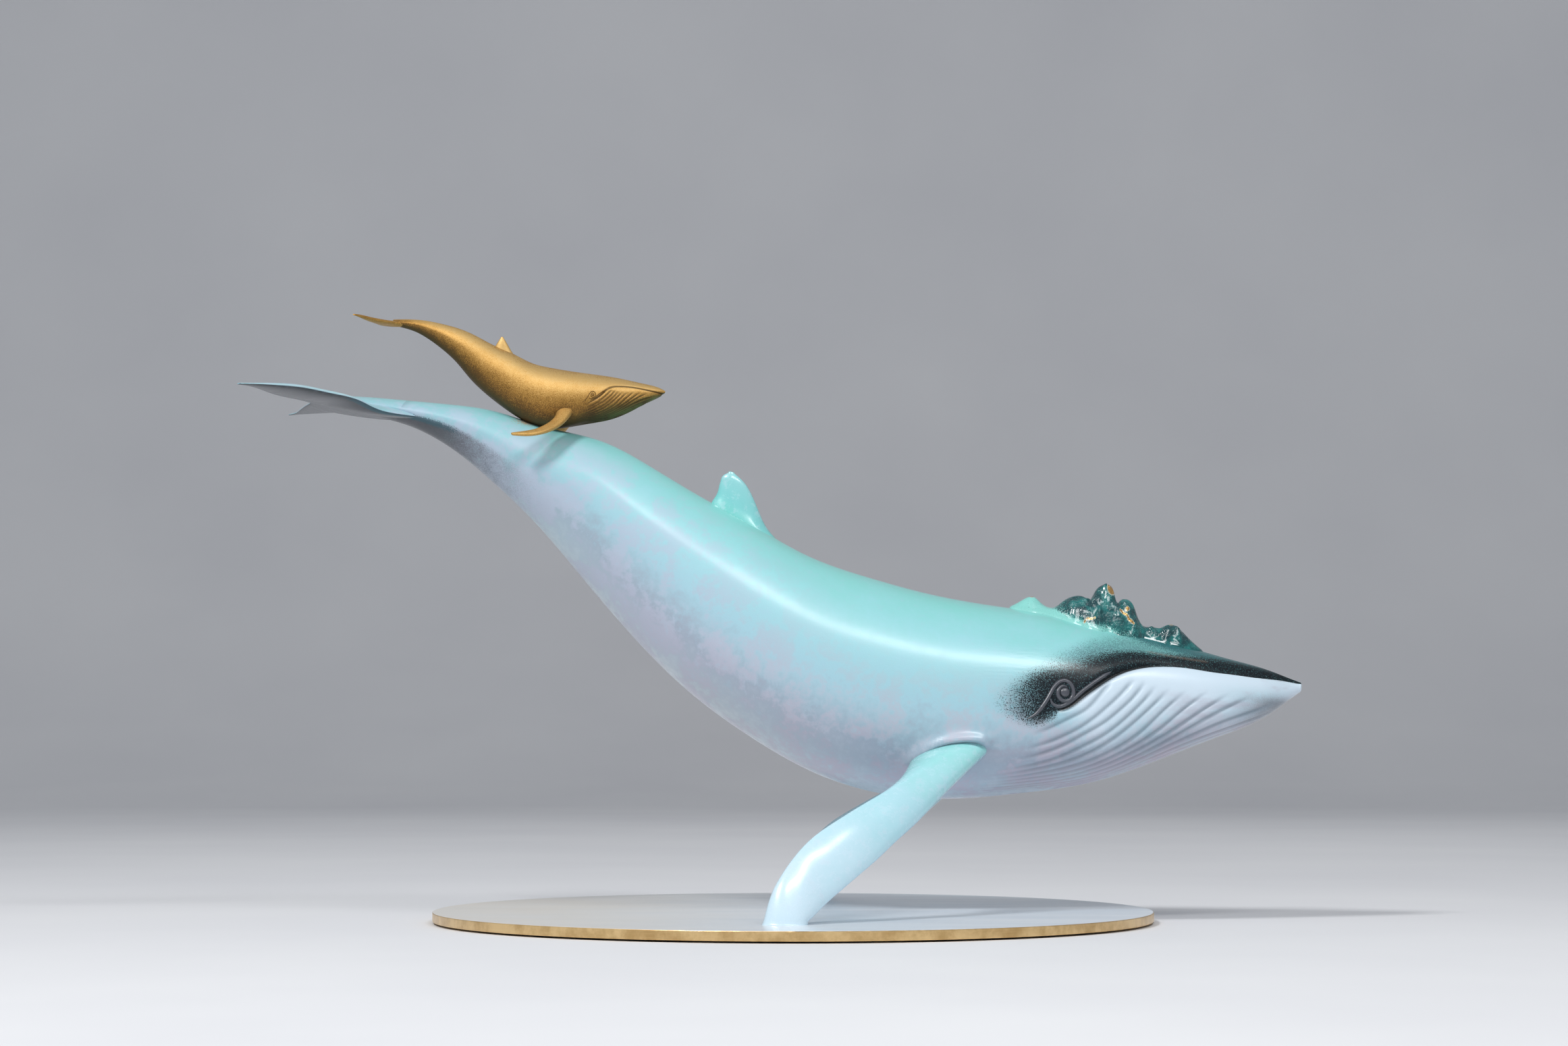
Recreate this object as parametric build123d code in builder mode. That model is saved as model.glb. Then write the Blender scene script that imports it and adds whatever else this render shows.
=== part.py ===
"""A cast whale with her calf, standing on its two flippers on a round plate.

Millimetres, +Z up. The origin is the middle of the underside of the plate, the
whale looks along +X and its right side faces -Y.
"""

import os

from build123d import *

os.makedirs("parts", exist_ok=True)

# Plate and what lies under it
plate_diameter = 380.0
plate_thickness = 5.0
plate_edge_break = 0.5
felt_thickness = 1.0
felt_inset = 6.0

# Whale, from its chin back to the tips of its flukes and from belly to tail
whale_length = 552.0
whale_rise = 215.0
whale_breadth = 102.0
chin_reach = 270.3
belly_clearance = 58.9
casting_wall = 4.0

# Flukes of the whale
fluke_span = 196.0
fluke_thickness = 6.0

# Flippers of the whale, which are its legs
flipper_spread = 276.0
flipper_thickness = 16.0
left_flipper_lead = 11.0

# Fin on the back and the crest on the head
dorsal_thickness = 16.0
crest_height = 24.0
crest_breadth = 42.0
crest_root = 12.0

# Calf, from its nose back to the root of its flukes
calf_length = 166.0
calf_rise = 58.0
calf_breadth = 28.0
calf_sink = 1.2
calf_fluke_span = 46.0
calf_fluke_thickness = 3.0
calf_fluke_roll_degrees = 4.2
calf_dorsal_thickness = 5.0
calf_flipper_reach = 33.0
calf_flipper_thickness = 6.0

# Pins that register the castings, and the screws that hold the feet
pin_diameter = 4.0
pin_clearance = 0.1
flipper_pin_length = 28.0
flipper_pin_pitch = 16.0
tail_pin_length = 24.0
dorsal_pin_length = 14.0
crest_pin_length = 12.0
calf_pin_length = 18.0
calf_pin_pitch = 9.0
screw_diameter = 4.0
screw_head_diameter = 8.0
screw_length = 12.0
screw_pitch = 8.0
screw_tip_gap = 1.0

plate_top = felt_thickness + plate_thickness
belly_height = plate_top + belly_clearance
screw_depth = felt_thickness + screw_length + screw_tip_gap - plate_top
standing = (Align.CENTER, Align.CENTER, Align.MIN)

# Forms of a section: how high its widest place is, as a share of its half height,
# and how full its upper and lower halves are, where round_share is an ellipse
round_share = 0.552
head_form_shares = (-0.24, 0.50, 0.66)
trunk_form_shares = (-0.06, 0.56, 0.60)
stock_form_shares = (0.04, 0.40, 0.40)

# Sections of the whale from chin to tail: where the back is, along the length
# and up the rise, where the belly is, the half breadth, and the form, which
# runs from a head at -1 through a trunk at 0 to a tail stock at 1
whale_shares = [
    (0.0025, 0.286, 0.0036, 0.260, 0.05, -1.0),
    (0.010, 0.293, 0.013, 0.243, 0.11, -1.0),
    (0.032, 0.315, 0.039, 0.198, 0.26, -1.0),
    (0.070, 0.343, 0.083, 0.150, 0.46, -1.0),
    (0.122, 0.381, 0.141, 0.093, 0.65, -0.9),
    (0.181, 0.418, 0.203, 0.040, 0.80, -0.7),
    (0.239, 0.452, 0.265, 0.015, 0.91, -0.4),
    (0.298, 0.475, 0.330, 0.000, 0.98, -0.1),
    (0.356, 0.502, 0.392, 0.007, 1.00, 0.0),
    (0.414, 0.542, 0.460, 0.053, 0.98, 0.0),
    (0.473, 0.595, 0.528, 0.147, 0.90, 0.0),
    (0.525, 0.668, 0.590, 0.263, 0.80, 0.1),
    (0.577, 0.742, 0.645, 0.402, 0.67, 0.25),
    (0.629, 0.822, 0.694, 0.548, 0.54, 0.45),
    (0.681, 0.888, 0.739, 0.682, 0.42, 0.65),
    (0.733, 0.920, 0.780, 0.783, 0.33, 0.85),
    (0.778, 0.957, 0.816, 0.859, 0.27, 1.0),
    (0.820, 0.973, 0.846, 0.905, 0.235, 1.0),
    (0.862, 0.983, 0.872, 0.930, 0.215, 1.0),
]
# The stock goes on inside the flukes and flattens there
stock_end_shares = [
    (0.905, 0.984, 0.910, 0.955, 0.25, 1.0),
    (0.935, 0.988, 0.936, 0.975, 0.30, 1.0),
]
cavity_start_share, cavity_end_share = 0.06, 0.75

# Flukes across the half span: out, then the leading and the trailing edge, each
# along and up, and thickness
fluke_shares = [
    (0.00, 0.862, 0.945, 0.955, 0.984, 1.00),
    (0.11, 0.866, 0.944, 0.957, 0.984, 0.98),
    (0.20, 0.880, 0.949, 0.961, 0.983, 0.94),
    (0.31, 0.901, 0.971, 0.967, 0.982, 0.91),
    (0.46, 0.924, 0.983, 0.974, 0.981, 0.93),
    (0.61, 0.944, 0.990, 0.980, 0.981, 0.85),
    (0.78, 0.965, 0.990, 0.986, 0.983, 0.57),
    (0.93, 0.986, 0.987, 0.994, 0.984, 0.24),
    (0.99, 0.996, 0.985, 1.000, 0.984, 0.14),
]

# Fin on the back, from its root inside the trunk to its tip: rear edge and
# front edge, along and up, and thickness
dorsal_shares = [
    (0.572, 0.700, 0.490, 0.570, 1.00),
    (0.568, 0.731, 0.500, 0.622, 0.80),
    (0.563, 0.752, 0.514, 0.664, 0.60),
    (0.561, 0.770, 0.522, 0.704, 0.46),
    (0.559, 0.788, 0.530, 0.752, 0.34),
    (0.556, 0.799, 0.539, 0.786, 0.23),
    (0.552, 0.804, 0.546, 0.802, 0.11),
]
dorsal_pin_shares = (0.552, 0.537)

# Right flipper from inside the trunk to below the plate: rear edge and front
# edge along the whale's length, their heights up the shoulder, how far out
# they are of half the spread, and thickness
flipper_shares = [
    (0.377, 0.983, 0.294, 1.144, 0.22, 1.10),
    (0.382, 0.928, 0.310, 1.058, 0.34, 1.00),
    (0.395, 0.852, 0.357, 0.736, 0.55, 0.78),
    (0.411, 0.782, 0.381, 0.578, 0.65, 0.66),
    (0.429, 0.713, 0.396, 0.493, 0.71, 0.60),
    (0.449, 0.632, 0.414, 0.383, 0.78, 0.56),
    (0.466, 0.558, 0.428, 0.306, 0.83, 0.54),
    (0.480, 0.478, 0.443, 0.223, 0.877, 0.53),
    (0.492, 0.384, 0.458, 0.138, 0.92, 0.52),
    (0.502, 0.286, 0.468, 0.075, 0.96, 0.54),
    (0.509, 0.197, 0.473, 0.042, 0.98, 0.60),
    (0.517, 0.012, 0.478, 0.000, 1.00, 0.68),
    (0.520, -0.090, 0.480, -0.100, 1.005, 0.70),
]
shoulder_share = 0.10

# Low ridge under the crest, from back to front of the head: along the length,
# height above the head, and breadth
ridge_shares = [
    (0.290, -0.28, 0.24),
    (0.258, 0.10, 0.46),
    (0.228, 0.22, 0.80),
    (0.198, 0.30, 1.00),
    (0.168, 0.26, 0.86),
    (0.140, 0.12, 0.56),
    (0.108, -0.28, 0.26),
]
# Peaks on the ridge: along the length, out to the side, height and foot
peak_shares = [
    (0.257, 0.00, 0.38, 0.66),
    (0.230, 0.00, 0.62, 0.82),
    (0.203, 0.00, 1.00, 0.90),
    (0.180, 0.00, 0.74, 0.76),
    (0.144, 0.00, 0.40, 0.72),
    (0.216, 0.56, 0.30, 0.52),
    (0.216, -0.56, 0.30, 0.52),
]
peak_tip_share = 0.09
# Widest place of the crest below its ridge, and the fullness above and below it
crest_form_shares = (-0.40, 0.40, 0.60)
crest_pin_shares = (0.221, 0.183)

# Calf, in the same way as the whale, from a seat on the whale's back
calf_seat_share = 0.707
calf_pin_share = 0.732
calf_shares = [
    (0.313, 0.400, 0.311, 0.380, 0.06, -0.5),
    (0.298, 0.424, 0.290, 0.347, 0.20, -0.5),
    (0.242, 0.469, 0.236, 0.262, 0.46, -0.5),
    (0.167, 0.516, 0.150, 0.148, 0.73, -0.5),
    (0.092, 0.550, 0.062, 0.096, 0.92, -0.3),
    (0.018, 0.579, -0.026, 0.058, 1.00, 0.0),
    (-0.053, 0.613, -0.108, 0.084, 0.97, 0.0),
    (-0.117, 0.660, -0.190, 0.214, 0.87, 0.0),
    (-0.178, 0.747, -0.262, 0.372, 0.74, 0.2),
    (-0.241, 0.827, -0.314, 0.515, 0.61, 0.4),
    (-0.304, 0.922, -0.360, 0.671, 0.49, 0.6),
    (-0.357, 0.983, -0.403, 0.784, 0.38, 0.8),
    (-0.411, 1.024, -0.443, 0.870, 0.29, 1.0),
    (-0.465, 1.053, -0.483, 0.938, 0.24, 1.0),
    (-0.517, 1.062, -0.521, 0.977, 0.22, 1.0),
]
calf_stock_end_shares = [(-0.560, 1.060, -0.562, 1.005, 0.24, 1.0)]
calf_fluke_shares = [
    (0.00, -0.500, 1.012, -0.614, 1.024, 1.00),
    (0.14, -0.535, 1.023, -0.618, 1.030, 0.92),
    (0.32, -0.566, 1.033, -0.626, 1.039, 0.84),
    (0.62, -0.615, 1.058, -0.645, 1.060, 0.70),
    (0.87, -0.648, 1.081, -0.662, 1.082, 0.48),
    (0.99, -0.668, 1.093, -0.675, 1.093, 0.24),
]
calf_dorsal_shares = [
    (-0.240, 0.765, -0.155, 0.665, 1.00),
    (-0.231, 0.826, -0.182, 0.772, 0.68),
    (-0.222, 0.868, -0.197, 0.846, 0.44),
    (-0.216, 0.894, -0.207, 0.893, 0.20),
]
# Right flipper of the calf: rear and front edge, each along, out and up
calf_flipper_shares = [
    (-0.036, 0.24, 0.240, 0.028, 0.24, 0.246, 1.00),
    (-0.034, 0.38, 0.155, 0.016, 0.42, 0.176, 0.85),
    (-0.050, 0.49, 0.084, -0.008, 0.60, 0.085, 0.74),
    (-0.072, 0.61, 0.040, -0.036, 0.75, 0.022, 0.64),
    (-0.100, 0.75, 0.004, -0.070, 0.89, -0.022, 0.52),
    (-0.132, 0.88, -0.014, -0.112, 0.97, -0.047, 0.40),
    (-0.165, 0.98, -0.027, -0.158, 1.01, -0.046, 0.26),
]


def oval(plane, half_width, half_height, side=0.0, upper=round_share, lower=round_share):
    """Closed outline of four curves, level at top and bottom and upright at its sides.

    side is where the widest place is, as a share of the half height. upper and lower
    are the fullness of the halves above and below it.
    """
    flank = side * half_height
    above, below = half_height - flank, half_height + flank
    with BuildSketch(plane) as section:
        with BuildLine():
            Bezier(
                (0, half_height),
                (half_width * upper, half_height),
                (half_width, flank + above * upper),
                (half_width, flank),
            )
            Bezier(
                (half_width, flank),
                (half_width, flank - below * lower),
                (half_width * lower, -half_height),
                (0, -half_height),
            )
            mirror(about=Plane.YZ)
        make_face()
    return section.sketch


def form_between(form):
    """Place of the widest point and both fullnesses, between head, trunk and stock."""
    far_shares = stock_form_shares if form > 0 else head_form_shares
    return [near + (far - near) * abs(form) for near, far in zip(trunk_form_shares, far_shares)]


def body_section(top, bottom, half_breadth, form, inset=0.0):
    """Section across a body, through a point on its back and one on its belly."""
    rise = top - bottom
    upward = rise.normalized()
    across = Plane((top + bottom) / 2, x_dir=(0, 1, 0), z_dir=(upward.Z, 0, -upward.X))
    return oval(across, half_breadth - inset, rise.length / 2 - inset, *form_between(form))


def blade_sections(edges, thicknesses):
    """Oval sections of a fin between pairs of points on its rear and front edge."""
    middles = [(rear + front) / 2 for rear, front in edges]
    sections = []
    for index, (rear, front) in enumerate(edges):
        chord = front - rear
        along = chord.normalized()
        run = middles[min(index + 1, len(middles) - 1)] - middles[max(index - 1, 0)]
        square = run - along * run.dot(along)
        plane = Plane(middles[index], x_dir=chord, z_dir=square)
        sections.append(oval(plane, chord.length / 2, thicknesses[index] / 2))
    return sections


def fluke_sections(half_span, thickness, point, rows):
    """Oval sections of one fluke, from the middle out to the right tip."""
    sections = []
    for out, front_along, front_up, rear_along, rear_up, thick in rows:
        front = point(front_along, front_up, -half_span * out)
        rear = point(rear_along, rear_up, -half_span * out)
        chord = front - rear
        plane = Plane((front + rear) / 2, x_dir=chord, z_dir=(0, 1, 0))
        sections.append(oval(plane, chord.length / 2, thickness * thick / 2))
    return sections


def whale_point(along, up, side=0.0):
    """Point on the whale, from shares of its length and its rise."""
    return Vector(chin_reach - whale_length * along, side, belly_height + whale_rise * up)


def whale_back(along):
    """Point on the whale's back, at a share of its length."""
    for front, rear in zip(whale_shares, whale_shares[1:]):
        if front[0] <= along <= rear[0]:
            step = (along - front[0]) / (rear[0] - front[0])
            return whale_point(along, front[1] + (rear[1] - front[1]) * step)
    return whale_point(along, whale_shares[-1][1])


def whale_section(row, inset=0.0):
    """Section of the whale for one row of its table."""
    top, bottom = whale_point(row[0], row[1]), whale_point(row[2], row[3])
    return body_section(top, bottom, whale_breadth * row[4] / 2, row[5], inset)


def crest_section(along, up, breadth):
    """Section across the crest, from its ridge down into the head."""
    half_height = (crest_height * up + crest_root) / 2
    centre = whale_back(along) + Vector(0, 0, half_height - crest_root)
    across = Plane(centre, x_dir=(0, 1, 0), z_dir=(1, 0, 0))
    return oval(across, crest_breadth * breadth / 2, half_height, *crest_form_shares)


def middle(point, row):
    """Middle of a section, from the points on its back and its belly."""
    return (point(row[0], row[1]) + point(row[2], row[3])) / 2


calf_seat = whale_back(calf_seat_share)


def calf_point(along, up, side=0.0):
    """Point on the calf, from shares of its length and its rise."""
    return Vector(
        calf_seat.X + calf_length * along, side, calf_seat.Z - calf_sink + calf_rise * up
    )


def calf_section(row):
    """Section of the calf for one row of its table."""
    top, bottom = calf_point(row[0], row[1]), calf_point(row[2], row[3])
    return body_section(top, bottom, calf_breadth * row[4] / 2, row[5])


shoulder_height = belly_clearance + whale_rise * shoulder_share


def flipper_edges(side, lead=0.0):
    """Rear and front edge of a flipper, row by row: side is -1 on the right, 1 on the left."""
    edges = []
    for rear_along, rear_up, front_along, front_up, out, thick in flipper_shares:
        rear, front = [
            Vector(
                chin_reach - whale_length * along + lead,
                side * flipper_spread * out / 2,
                plate_top + shoulder_height * up,
            )
            for along, up in ((rear_along, rear_up), (front_along, front_up))
        ]
        edges.append((rear, front))
    return edges


def root_planes(edges):
    """Planes of the two pins at the root of a flipper."""
    before, root, beyond = [(rear + front) / 2 for rear, front in edges[:3]]
    chord = edges[1][1] - edges[1][0]
    return pair(Plane(root, x_dir=chord, z_dir=beyond - before), flipper_pin_pitch)


def foot_places(edges):
    """Places of the two screws under the foot of a flipper."""
    foot = (edges[-2][0] + edges[-2][1]) / 2
    return [(foot.X + side * screw_pitch / 2, foot.Y) for side in (-1, 1)]


def pair(plane, pitch):
    """Two planes like the given one, a pitch apart along its X."""
    places = [plane.from_local_coords((side * pitch / 2, 0, 0)) for side in (-1, 1)]
    return [plane.shift_origin(place) for place in places]


def pegs(planes, diameter, length, mode=Mode.ADD):
    """Round pins, or bores for them, centred on their planes."""
    with Locations(*planes):
        Cylinder(diameter / 2, length, mode=mode)


# Planes of the pins, shared by the two castings that each pin joins
tail_seam = middle(whale_point, whale_shares[-1])
tail_run = middle(whale_point, stock_end_shares[0]) - middle(whale_point, whale_shares[-2])
tail_pins = [Plane(tail_seam, z_dir=tail_run)]

dorsal_edges = [(whale_point(a, b), whale_point(c, d)) for a, b, c, d, thick in dorsal_shares]
dorsal_pins = [Plane(whale_back(share)) for share in dorsal_pin_shares]
crest_pins = [Plane(whale_back(share)) for share in crest_pin_shares]
calf_pins = pair(Plane(whale_back(calf_pin_share)), calf_pin_pitch)

# Edges of both flippers, the left one set forward, with their pins and screws
right_edges = flipper_edges(-1)
left_edges = flipper_edges(1, left_flipper_lead)
flipper_blades = [flipper_thickness * row[-1] for row in flipper_shares]
flipper_pins = root_planes(right_edges) + root_planes(left_edges)
screw_places = foot_places(right_edges) + foot_places(left_edges)
screw_bore = screw_diameter + 2 * pin_clearance
pin_bore = pin_diameter + 2 * pin_clearance
head_depth = (screw_head_diameter - screw_diameter) / 2

# Felt glued under the plate
with BuildPart() as felt_underlay:
    Cylinder(plate_diameter / 2 - felt_inset, felt_thickness, align=standing)

# Round plate, with holes sunk from below for the screws of the feet
with BuildPart(Plane.XY.offset(felt_thickness)) as base_plate:
    Cylinder(plate_diameter / 2, plate_thickness, align=standing)
    fillet(base_plate.edges().filter_by(GeomType.CIRCLE), plate_edge_break)
    with Locations(*screw_places):
        Cylinder(screw_bore / 2, plate_thickness, align=standing, mode=Mode.SUBTRACT)
        Cone(
            screw_head_diameter / 2,
            screw_bore / 2,
            head_depth,
            align=standing,
            mode=Mode.SUBTRACT,
        )

# Screws, heads down in the plate
with BuildPart(Plane.XY.offset(felt_thickness)) as foot_screws:
    with Locations(*screw_places):
        Cone(screw_head_diameter / 2 - pin_clearance, screw_diameter / 2, head_depth, align=standing)
        Cylinder(screw_diameter / 2, screw_length, align=standing)

# Solid forms of the two bodies, which the other castings are cut to
with BuildPart() as whale_form:
    loft([whale_section(row) for row in whale_shares])

with BuildPart() as calf_form:
    loft([calf_section(row) for row in calf_shares])

# Hollow casting of the whale's body
cavity_rows = [row for row in whale_shares if cavity_start_share < row[0] < cavity_end_share]
with BuildPart() as body_shell:
    add(whale_form.part)
    loft([whale_section(row, casting_wall) for row in cavity_rows], mode=Mode.SUBTRACT)
    pegs(tail_pins, pin_bore, tail_pin_length, mode=Mode.SUBTRACT)
    pegs(dorsal_pins, pin_bore, dorsal_pin_length, mode=Mode.SUBTRACT)
    pegs(crest_pins, pin_bore, crest_pin_length, mode=Mode.SUBTRACT)
    pegs(calf_pins, pin_bore, calf_pin_length, mode=Mode.SUBTRACT)
    pegs(flipper_pins, pin_bore, flipper_pin_length, mode=Mode.SUBTRACT)

# Both flukes in one casting, with the end of the tail stock
with BuildPart() as tail_flukes:
    loft(fluke_sections(fluke_span / 2, fluke_thickness, whale_point, fluke_shares))
    mirror(about=Plane.XZ)
    loft([whale_section(row) for row in whale_shares[-1:] + stock_end_shares])
    add(whale_form.part, mode=Mode.SUBTRACT)
    pegs(tail_pins, pin_bore, tail_pin_length, mode=Mode.SUBTRACT)

# Fin on the back
with BuildPart() as dorsal_fin:
    loft(blade_sections(dorsal_edges, [dorsal_thickness * row[-1] for row in dorsal_shares]))
    add(whale_form.part, mode=Mode.SUBTRACT)
    pegs(dorsal_pins, pin_bore, dorsal_pin_length, mode=Mode.SUBTRACT)

# Craggy crest on the head
with BuildPart() as head_crest:
    loft([crest_section(*row) for row in ridge_shares])
    for along, out, up, foot_breadth in peak_shares:
        with Locations(whale_back(along) + Vector(0, crest_breadth * out / 2, -crest_root)):
            Cone(
                crest_breadth * foot_breadth / 2,
                crest_breadth * peak_tip_share / 2,
                crest_root + crest_height * up,
                align=standing,
            )
    add(whale_form.part, mode=Mode.SUBTRACT)
    pegs(crest_pins, pin_bore, crest_pin_length, mode=Mode.SUBTRACT)

# Flippers, each cut flat where it stands on the plate
with BuildPart() as flipper_right:
    loft(blade_sections(right_edges, flipper_blades))
    split(bisect_by=Plane.XY.offset(plate_top), keep=Keep.TOP)
    add(whale_form.part, mode=Mode.SUBTRACT)
    pegs(root_planes(right_edges), pin_bore, flipper_pin_length, mode=Mode.SUBTRACT)
    with Locations(*[(x, y, plate_top) for x, y in foot_places(right_edges)]):
        Cylinder(screw_bore / 2, screw_depth, align=standing, mode=Mode.SUBTRACT)

with BuildPart() as left_blade_form:
    loft(blade_sections(flipper_edges(-1, left_flipper_lead), flipper_blades))

with BuildPart() as flipper_left:
    mirror(left_blade_form.part, about=Plane.XZ)
    split(bisect_by=Plane.XY.offset(plate_top), keep=Keep.TOP)
    add(whale_form.part, mode=Mode.SUBTRACT)
    pegs(root_planes(left_edges), pin_bore, flipper_pin_length, mode=Mode.SUBTRACT)
    with Locations(*[(x, y, plate_top) for x, y in foot_places(left_edges)]):
        Cylinder(screw_bore / 2, screw_depth, align=standing, mode=Mode.SUBTRACT)

# Calf, whose belly is cut to its mother's back
with BuildPart() as calf_body:
    add(calf_form.part)
    add(whale_form.part, mode=Mode.SUBTRACT)
    pegs(calf_pins, pin_bore, calf_pin_length, mode=Mode.SUBTRACT)

# Flukes of the calf, rolled a little so that the left one stands higher
with BuildPart() as calf_fluke_form:
    loft(fluke_sections(calf_fluke_span / 2, calf_fluke_thickness, calf_point, calf_fluke_shares))
    mirror(about=Plane.XZ)

calf_tail = Axis(middle(calf_point, calf_shares[-1]), (1, 0, 0))
with BuildPart() as calf_flukes:
    add(calf_fluke_form.part.rotate(calf_tail, calf_fluke_roll_degrees))
    loft([calf_section(row) for row in calf_shares[-1:] + calf_stock_end_shares])
    add(calf_form.part, mode=Mode.SUBTRACT)

calf_dorsal_edges = [
    (calf_point(a, b), calf_point(c, d)) for a, b, c, d, thick in calf_dorsal_shares
]
calf_dorsal_blades = [calf_dorsal_thickness * row[-1] for row in calf_dorsal_shares]
with BuildPart() as calf_dorsal_fin:
    loft(blade_sections(calf_dorsal_edges, calf_dorsal_blades))
    add(calf_form.part, mode=Mode.SUBTRACT)

calf_flipper_edges = [
    (
        calf_point(rear_along, rear_up, -calf_flipper_reach * rear_out),
        calf_point(front_along, front_up, -calf_flipper_reach * front_out),
    )
    for rear_along, rear_out, rear_up, front_along, front_out, front_up, thick in calf_flipper_shares
]
calf_flipper_blades = [calf_flipper_thickness * row[-1] for row in calf_flipper_shares]
with BuildPart() as calf_flipper_right:
    loft(blade_sections(calf_flipper_edges, calf_flipper_blades))
    add(calf_form.part, mode=Mode.SUBTRACT)
    add(whale_form.part, mode=Mode.SUBTRACT)

with BuildPart() as calf_flipper_left:
    mirror(calf_flipper_right.part, about=Plane.XZ)

# Pins between the castings
with BuildPart() as tail_pin:
    pegs(tail_pins, pin_diameter, tail_pin_length)

with BuildPart() as dorsal_fin_pins:
    pegs(dorsal_pins, pin_diameter, dorsal_pin_length)

with BuildPart() as head_crest_pins:
    pegs(crest_pins, pin_diameter, crest_pin_length)

with BuildPart() as flipper_root_pins:
    pegs(flipper_pins, pin_diameter, flipper_pin_length)

with BuildPart() as calf_seat_pins:
    pegs(calf_pins, pin_diameter, calf_pin_length)

nodes = {
    "felt_underlay": felt_underlay,
    "base_plate": base_plate,
    "foot_screws": foot_screws,
    "body_shell": body_shell,
    "tail_flukes": tail_flukes,
    "tail_pin": tail_pin,
    "dorsal_fin": dorsal_fin,
    "dorsal_fin_pins": dorsal_fin_pins,
    "head_crest": head_crest,
    "head_crest_pins": head_crest_pins,
    "flipper_right": flipper_right,
    "flipper_left": flipper_left,
    "flipper_root_pins": flipper_root_pins,
    "calf_body": calf_body,
    "calf_flukes": calf_flukes,
    "calf_dorsal_fin": calf_dorsal_fin,
    "calf_flipper_right": calf_flipper_right,
    "calf_flipper_left": calf_flipper_left,
    "calf_seat_pins": calf_seat_pins,
}
for name, node in nodes.items():
    node.part.label = name
    export_step(node.part, f"parts/{name}.step")
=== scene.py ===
"""Dressed model of a cast whale that stands on its flippers and carries her calf.

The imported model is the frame. Every visible casting is modelled again in finer form
on the same axes and sizes, and the hidden pins, screws and felt keep their solids.
Sizes in the classes are millimetres, and the meshes are metres.
"""

import logging
import math
from dataclasses import dataclass, field
from enum import Enum

import bpy
import numpy as np
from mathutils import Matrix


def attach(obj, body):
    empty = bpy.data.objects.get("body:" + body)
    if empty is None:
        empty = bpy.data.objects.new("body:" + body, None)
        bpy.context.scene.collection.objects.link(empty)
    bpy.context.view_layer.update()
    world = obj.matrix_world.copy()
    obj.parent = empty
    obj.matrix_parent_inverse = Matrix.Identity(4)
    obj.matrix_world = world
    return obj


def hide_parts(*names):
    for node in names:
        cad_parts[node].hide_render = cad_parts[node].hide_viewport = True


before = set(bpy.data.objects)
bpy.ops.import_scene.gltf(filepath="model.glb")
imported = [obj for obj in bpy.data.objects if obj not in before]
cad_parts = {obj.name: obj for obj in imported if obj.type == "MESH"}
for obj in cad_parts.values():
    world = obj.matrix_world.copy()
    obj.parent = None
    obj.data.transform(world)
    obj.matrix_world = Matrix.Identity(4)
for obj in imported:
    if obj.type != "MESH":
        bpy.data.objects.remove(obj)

Array = np.ndarray
Object = bpy.types.Object
Pair = tuple[float, float]
Triple = tuple[float, float, float]
Colour = Triple
Rows = tuple[tuple[float, ...], ...]
Socket = bpy.types.NodeSocket
Material = bpy.types.Material

MM = 0.001
BODY = "root"
LEVELS = 2  # how often each face is split in four
FINENESS = 2**LEVELS
SHARP = 80.0  # edges sharper than this many degrees stay sharp
PLATE_TOP = 6.0
UNDERSIDE = (0.48, 0.35)  # rise at which the dark underside of the tail begins and is full; its darkness is partly painted shade
log = logging.getLogger("whale")


class Side(Enum):
    """Side of the whale that a paired piece is on, as the sign of its Y."""

    RIGHT = -1
    LEFT = 1


LEADS = {Side.RIGHT: 0.0, Side.LEFT: 11.0}  # how far forward each flipper stands


# Curves and outlines


def spline(stations: Array, values: Array, at: Array) -> Array:
    """Smooth curve through a table of values.

    Args:
        stations: Increasing parameters of the table's rows.
        values: One row of values for each station.
        at: Parameters to read the curve at.

    Returns:
        One row of values for each parameter.
    """
    gaps = np.diff(stations)[:, None]
    count = len(stations)
    system = np.zeros((count, count))
    system[0, 0] = system[-1, -1] = 1
    right = np.zeros(values.shape)
    for row in range(1, count - 1):
        before, after = gaps[row - 1, 0], gaps[row, 0]
        system[row, row - 1 : row + 2] = before, 2 * (before + after), after
        rise = (values[row + 1] - values[row]) / after
        right[row] = 3 * (rise - (values[row] - values[row - 1]) / before)
    bend = np.linalg.solve(system, right)
    slope = np.diff(values, axis=0) / gaps - gaps * (2 * bend[:-1] + bend[1:]) / 3
    twist = np.diff(bend, axis=0) / (3 * gaps)
    span = np.clip(np.searchsorted(stations, at) - 1, 0, count - 2)
    step = (at - stations[span])[:, None]
    return values[span] + slope[span] * step + bend[span] * step**2 + twist[span] * step**3


def running_length(points: Array) -> Array:
    """Distance along a line of points, from its first point to each one."""
    return np.r_[0, np.cumsum(np.linalg.norm(np.diff(points, axis=0), axis=1))]


def quarter(corners: tuple[Pair, ...]) -> Array:
    """Points along a cubic curve from its four control points."""
    t = np.linspace(0, 1, 60)[:, None]
    a, b, c, d = (np.array(corner, float) for corner in corners)
    return (1 - t) ** 3 * a + 3 * t * (1 - t) ** 2 * b + 3 * t**2 * (1 - t) * c + t**3 * d


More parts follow.
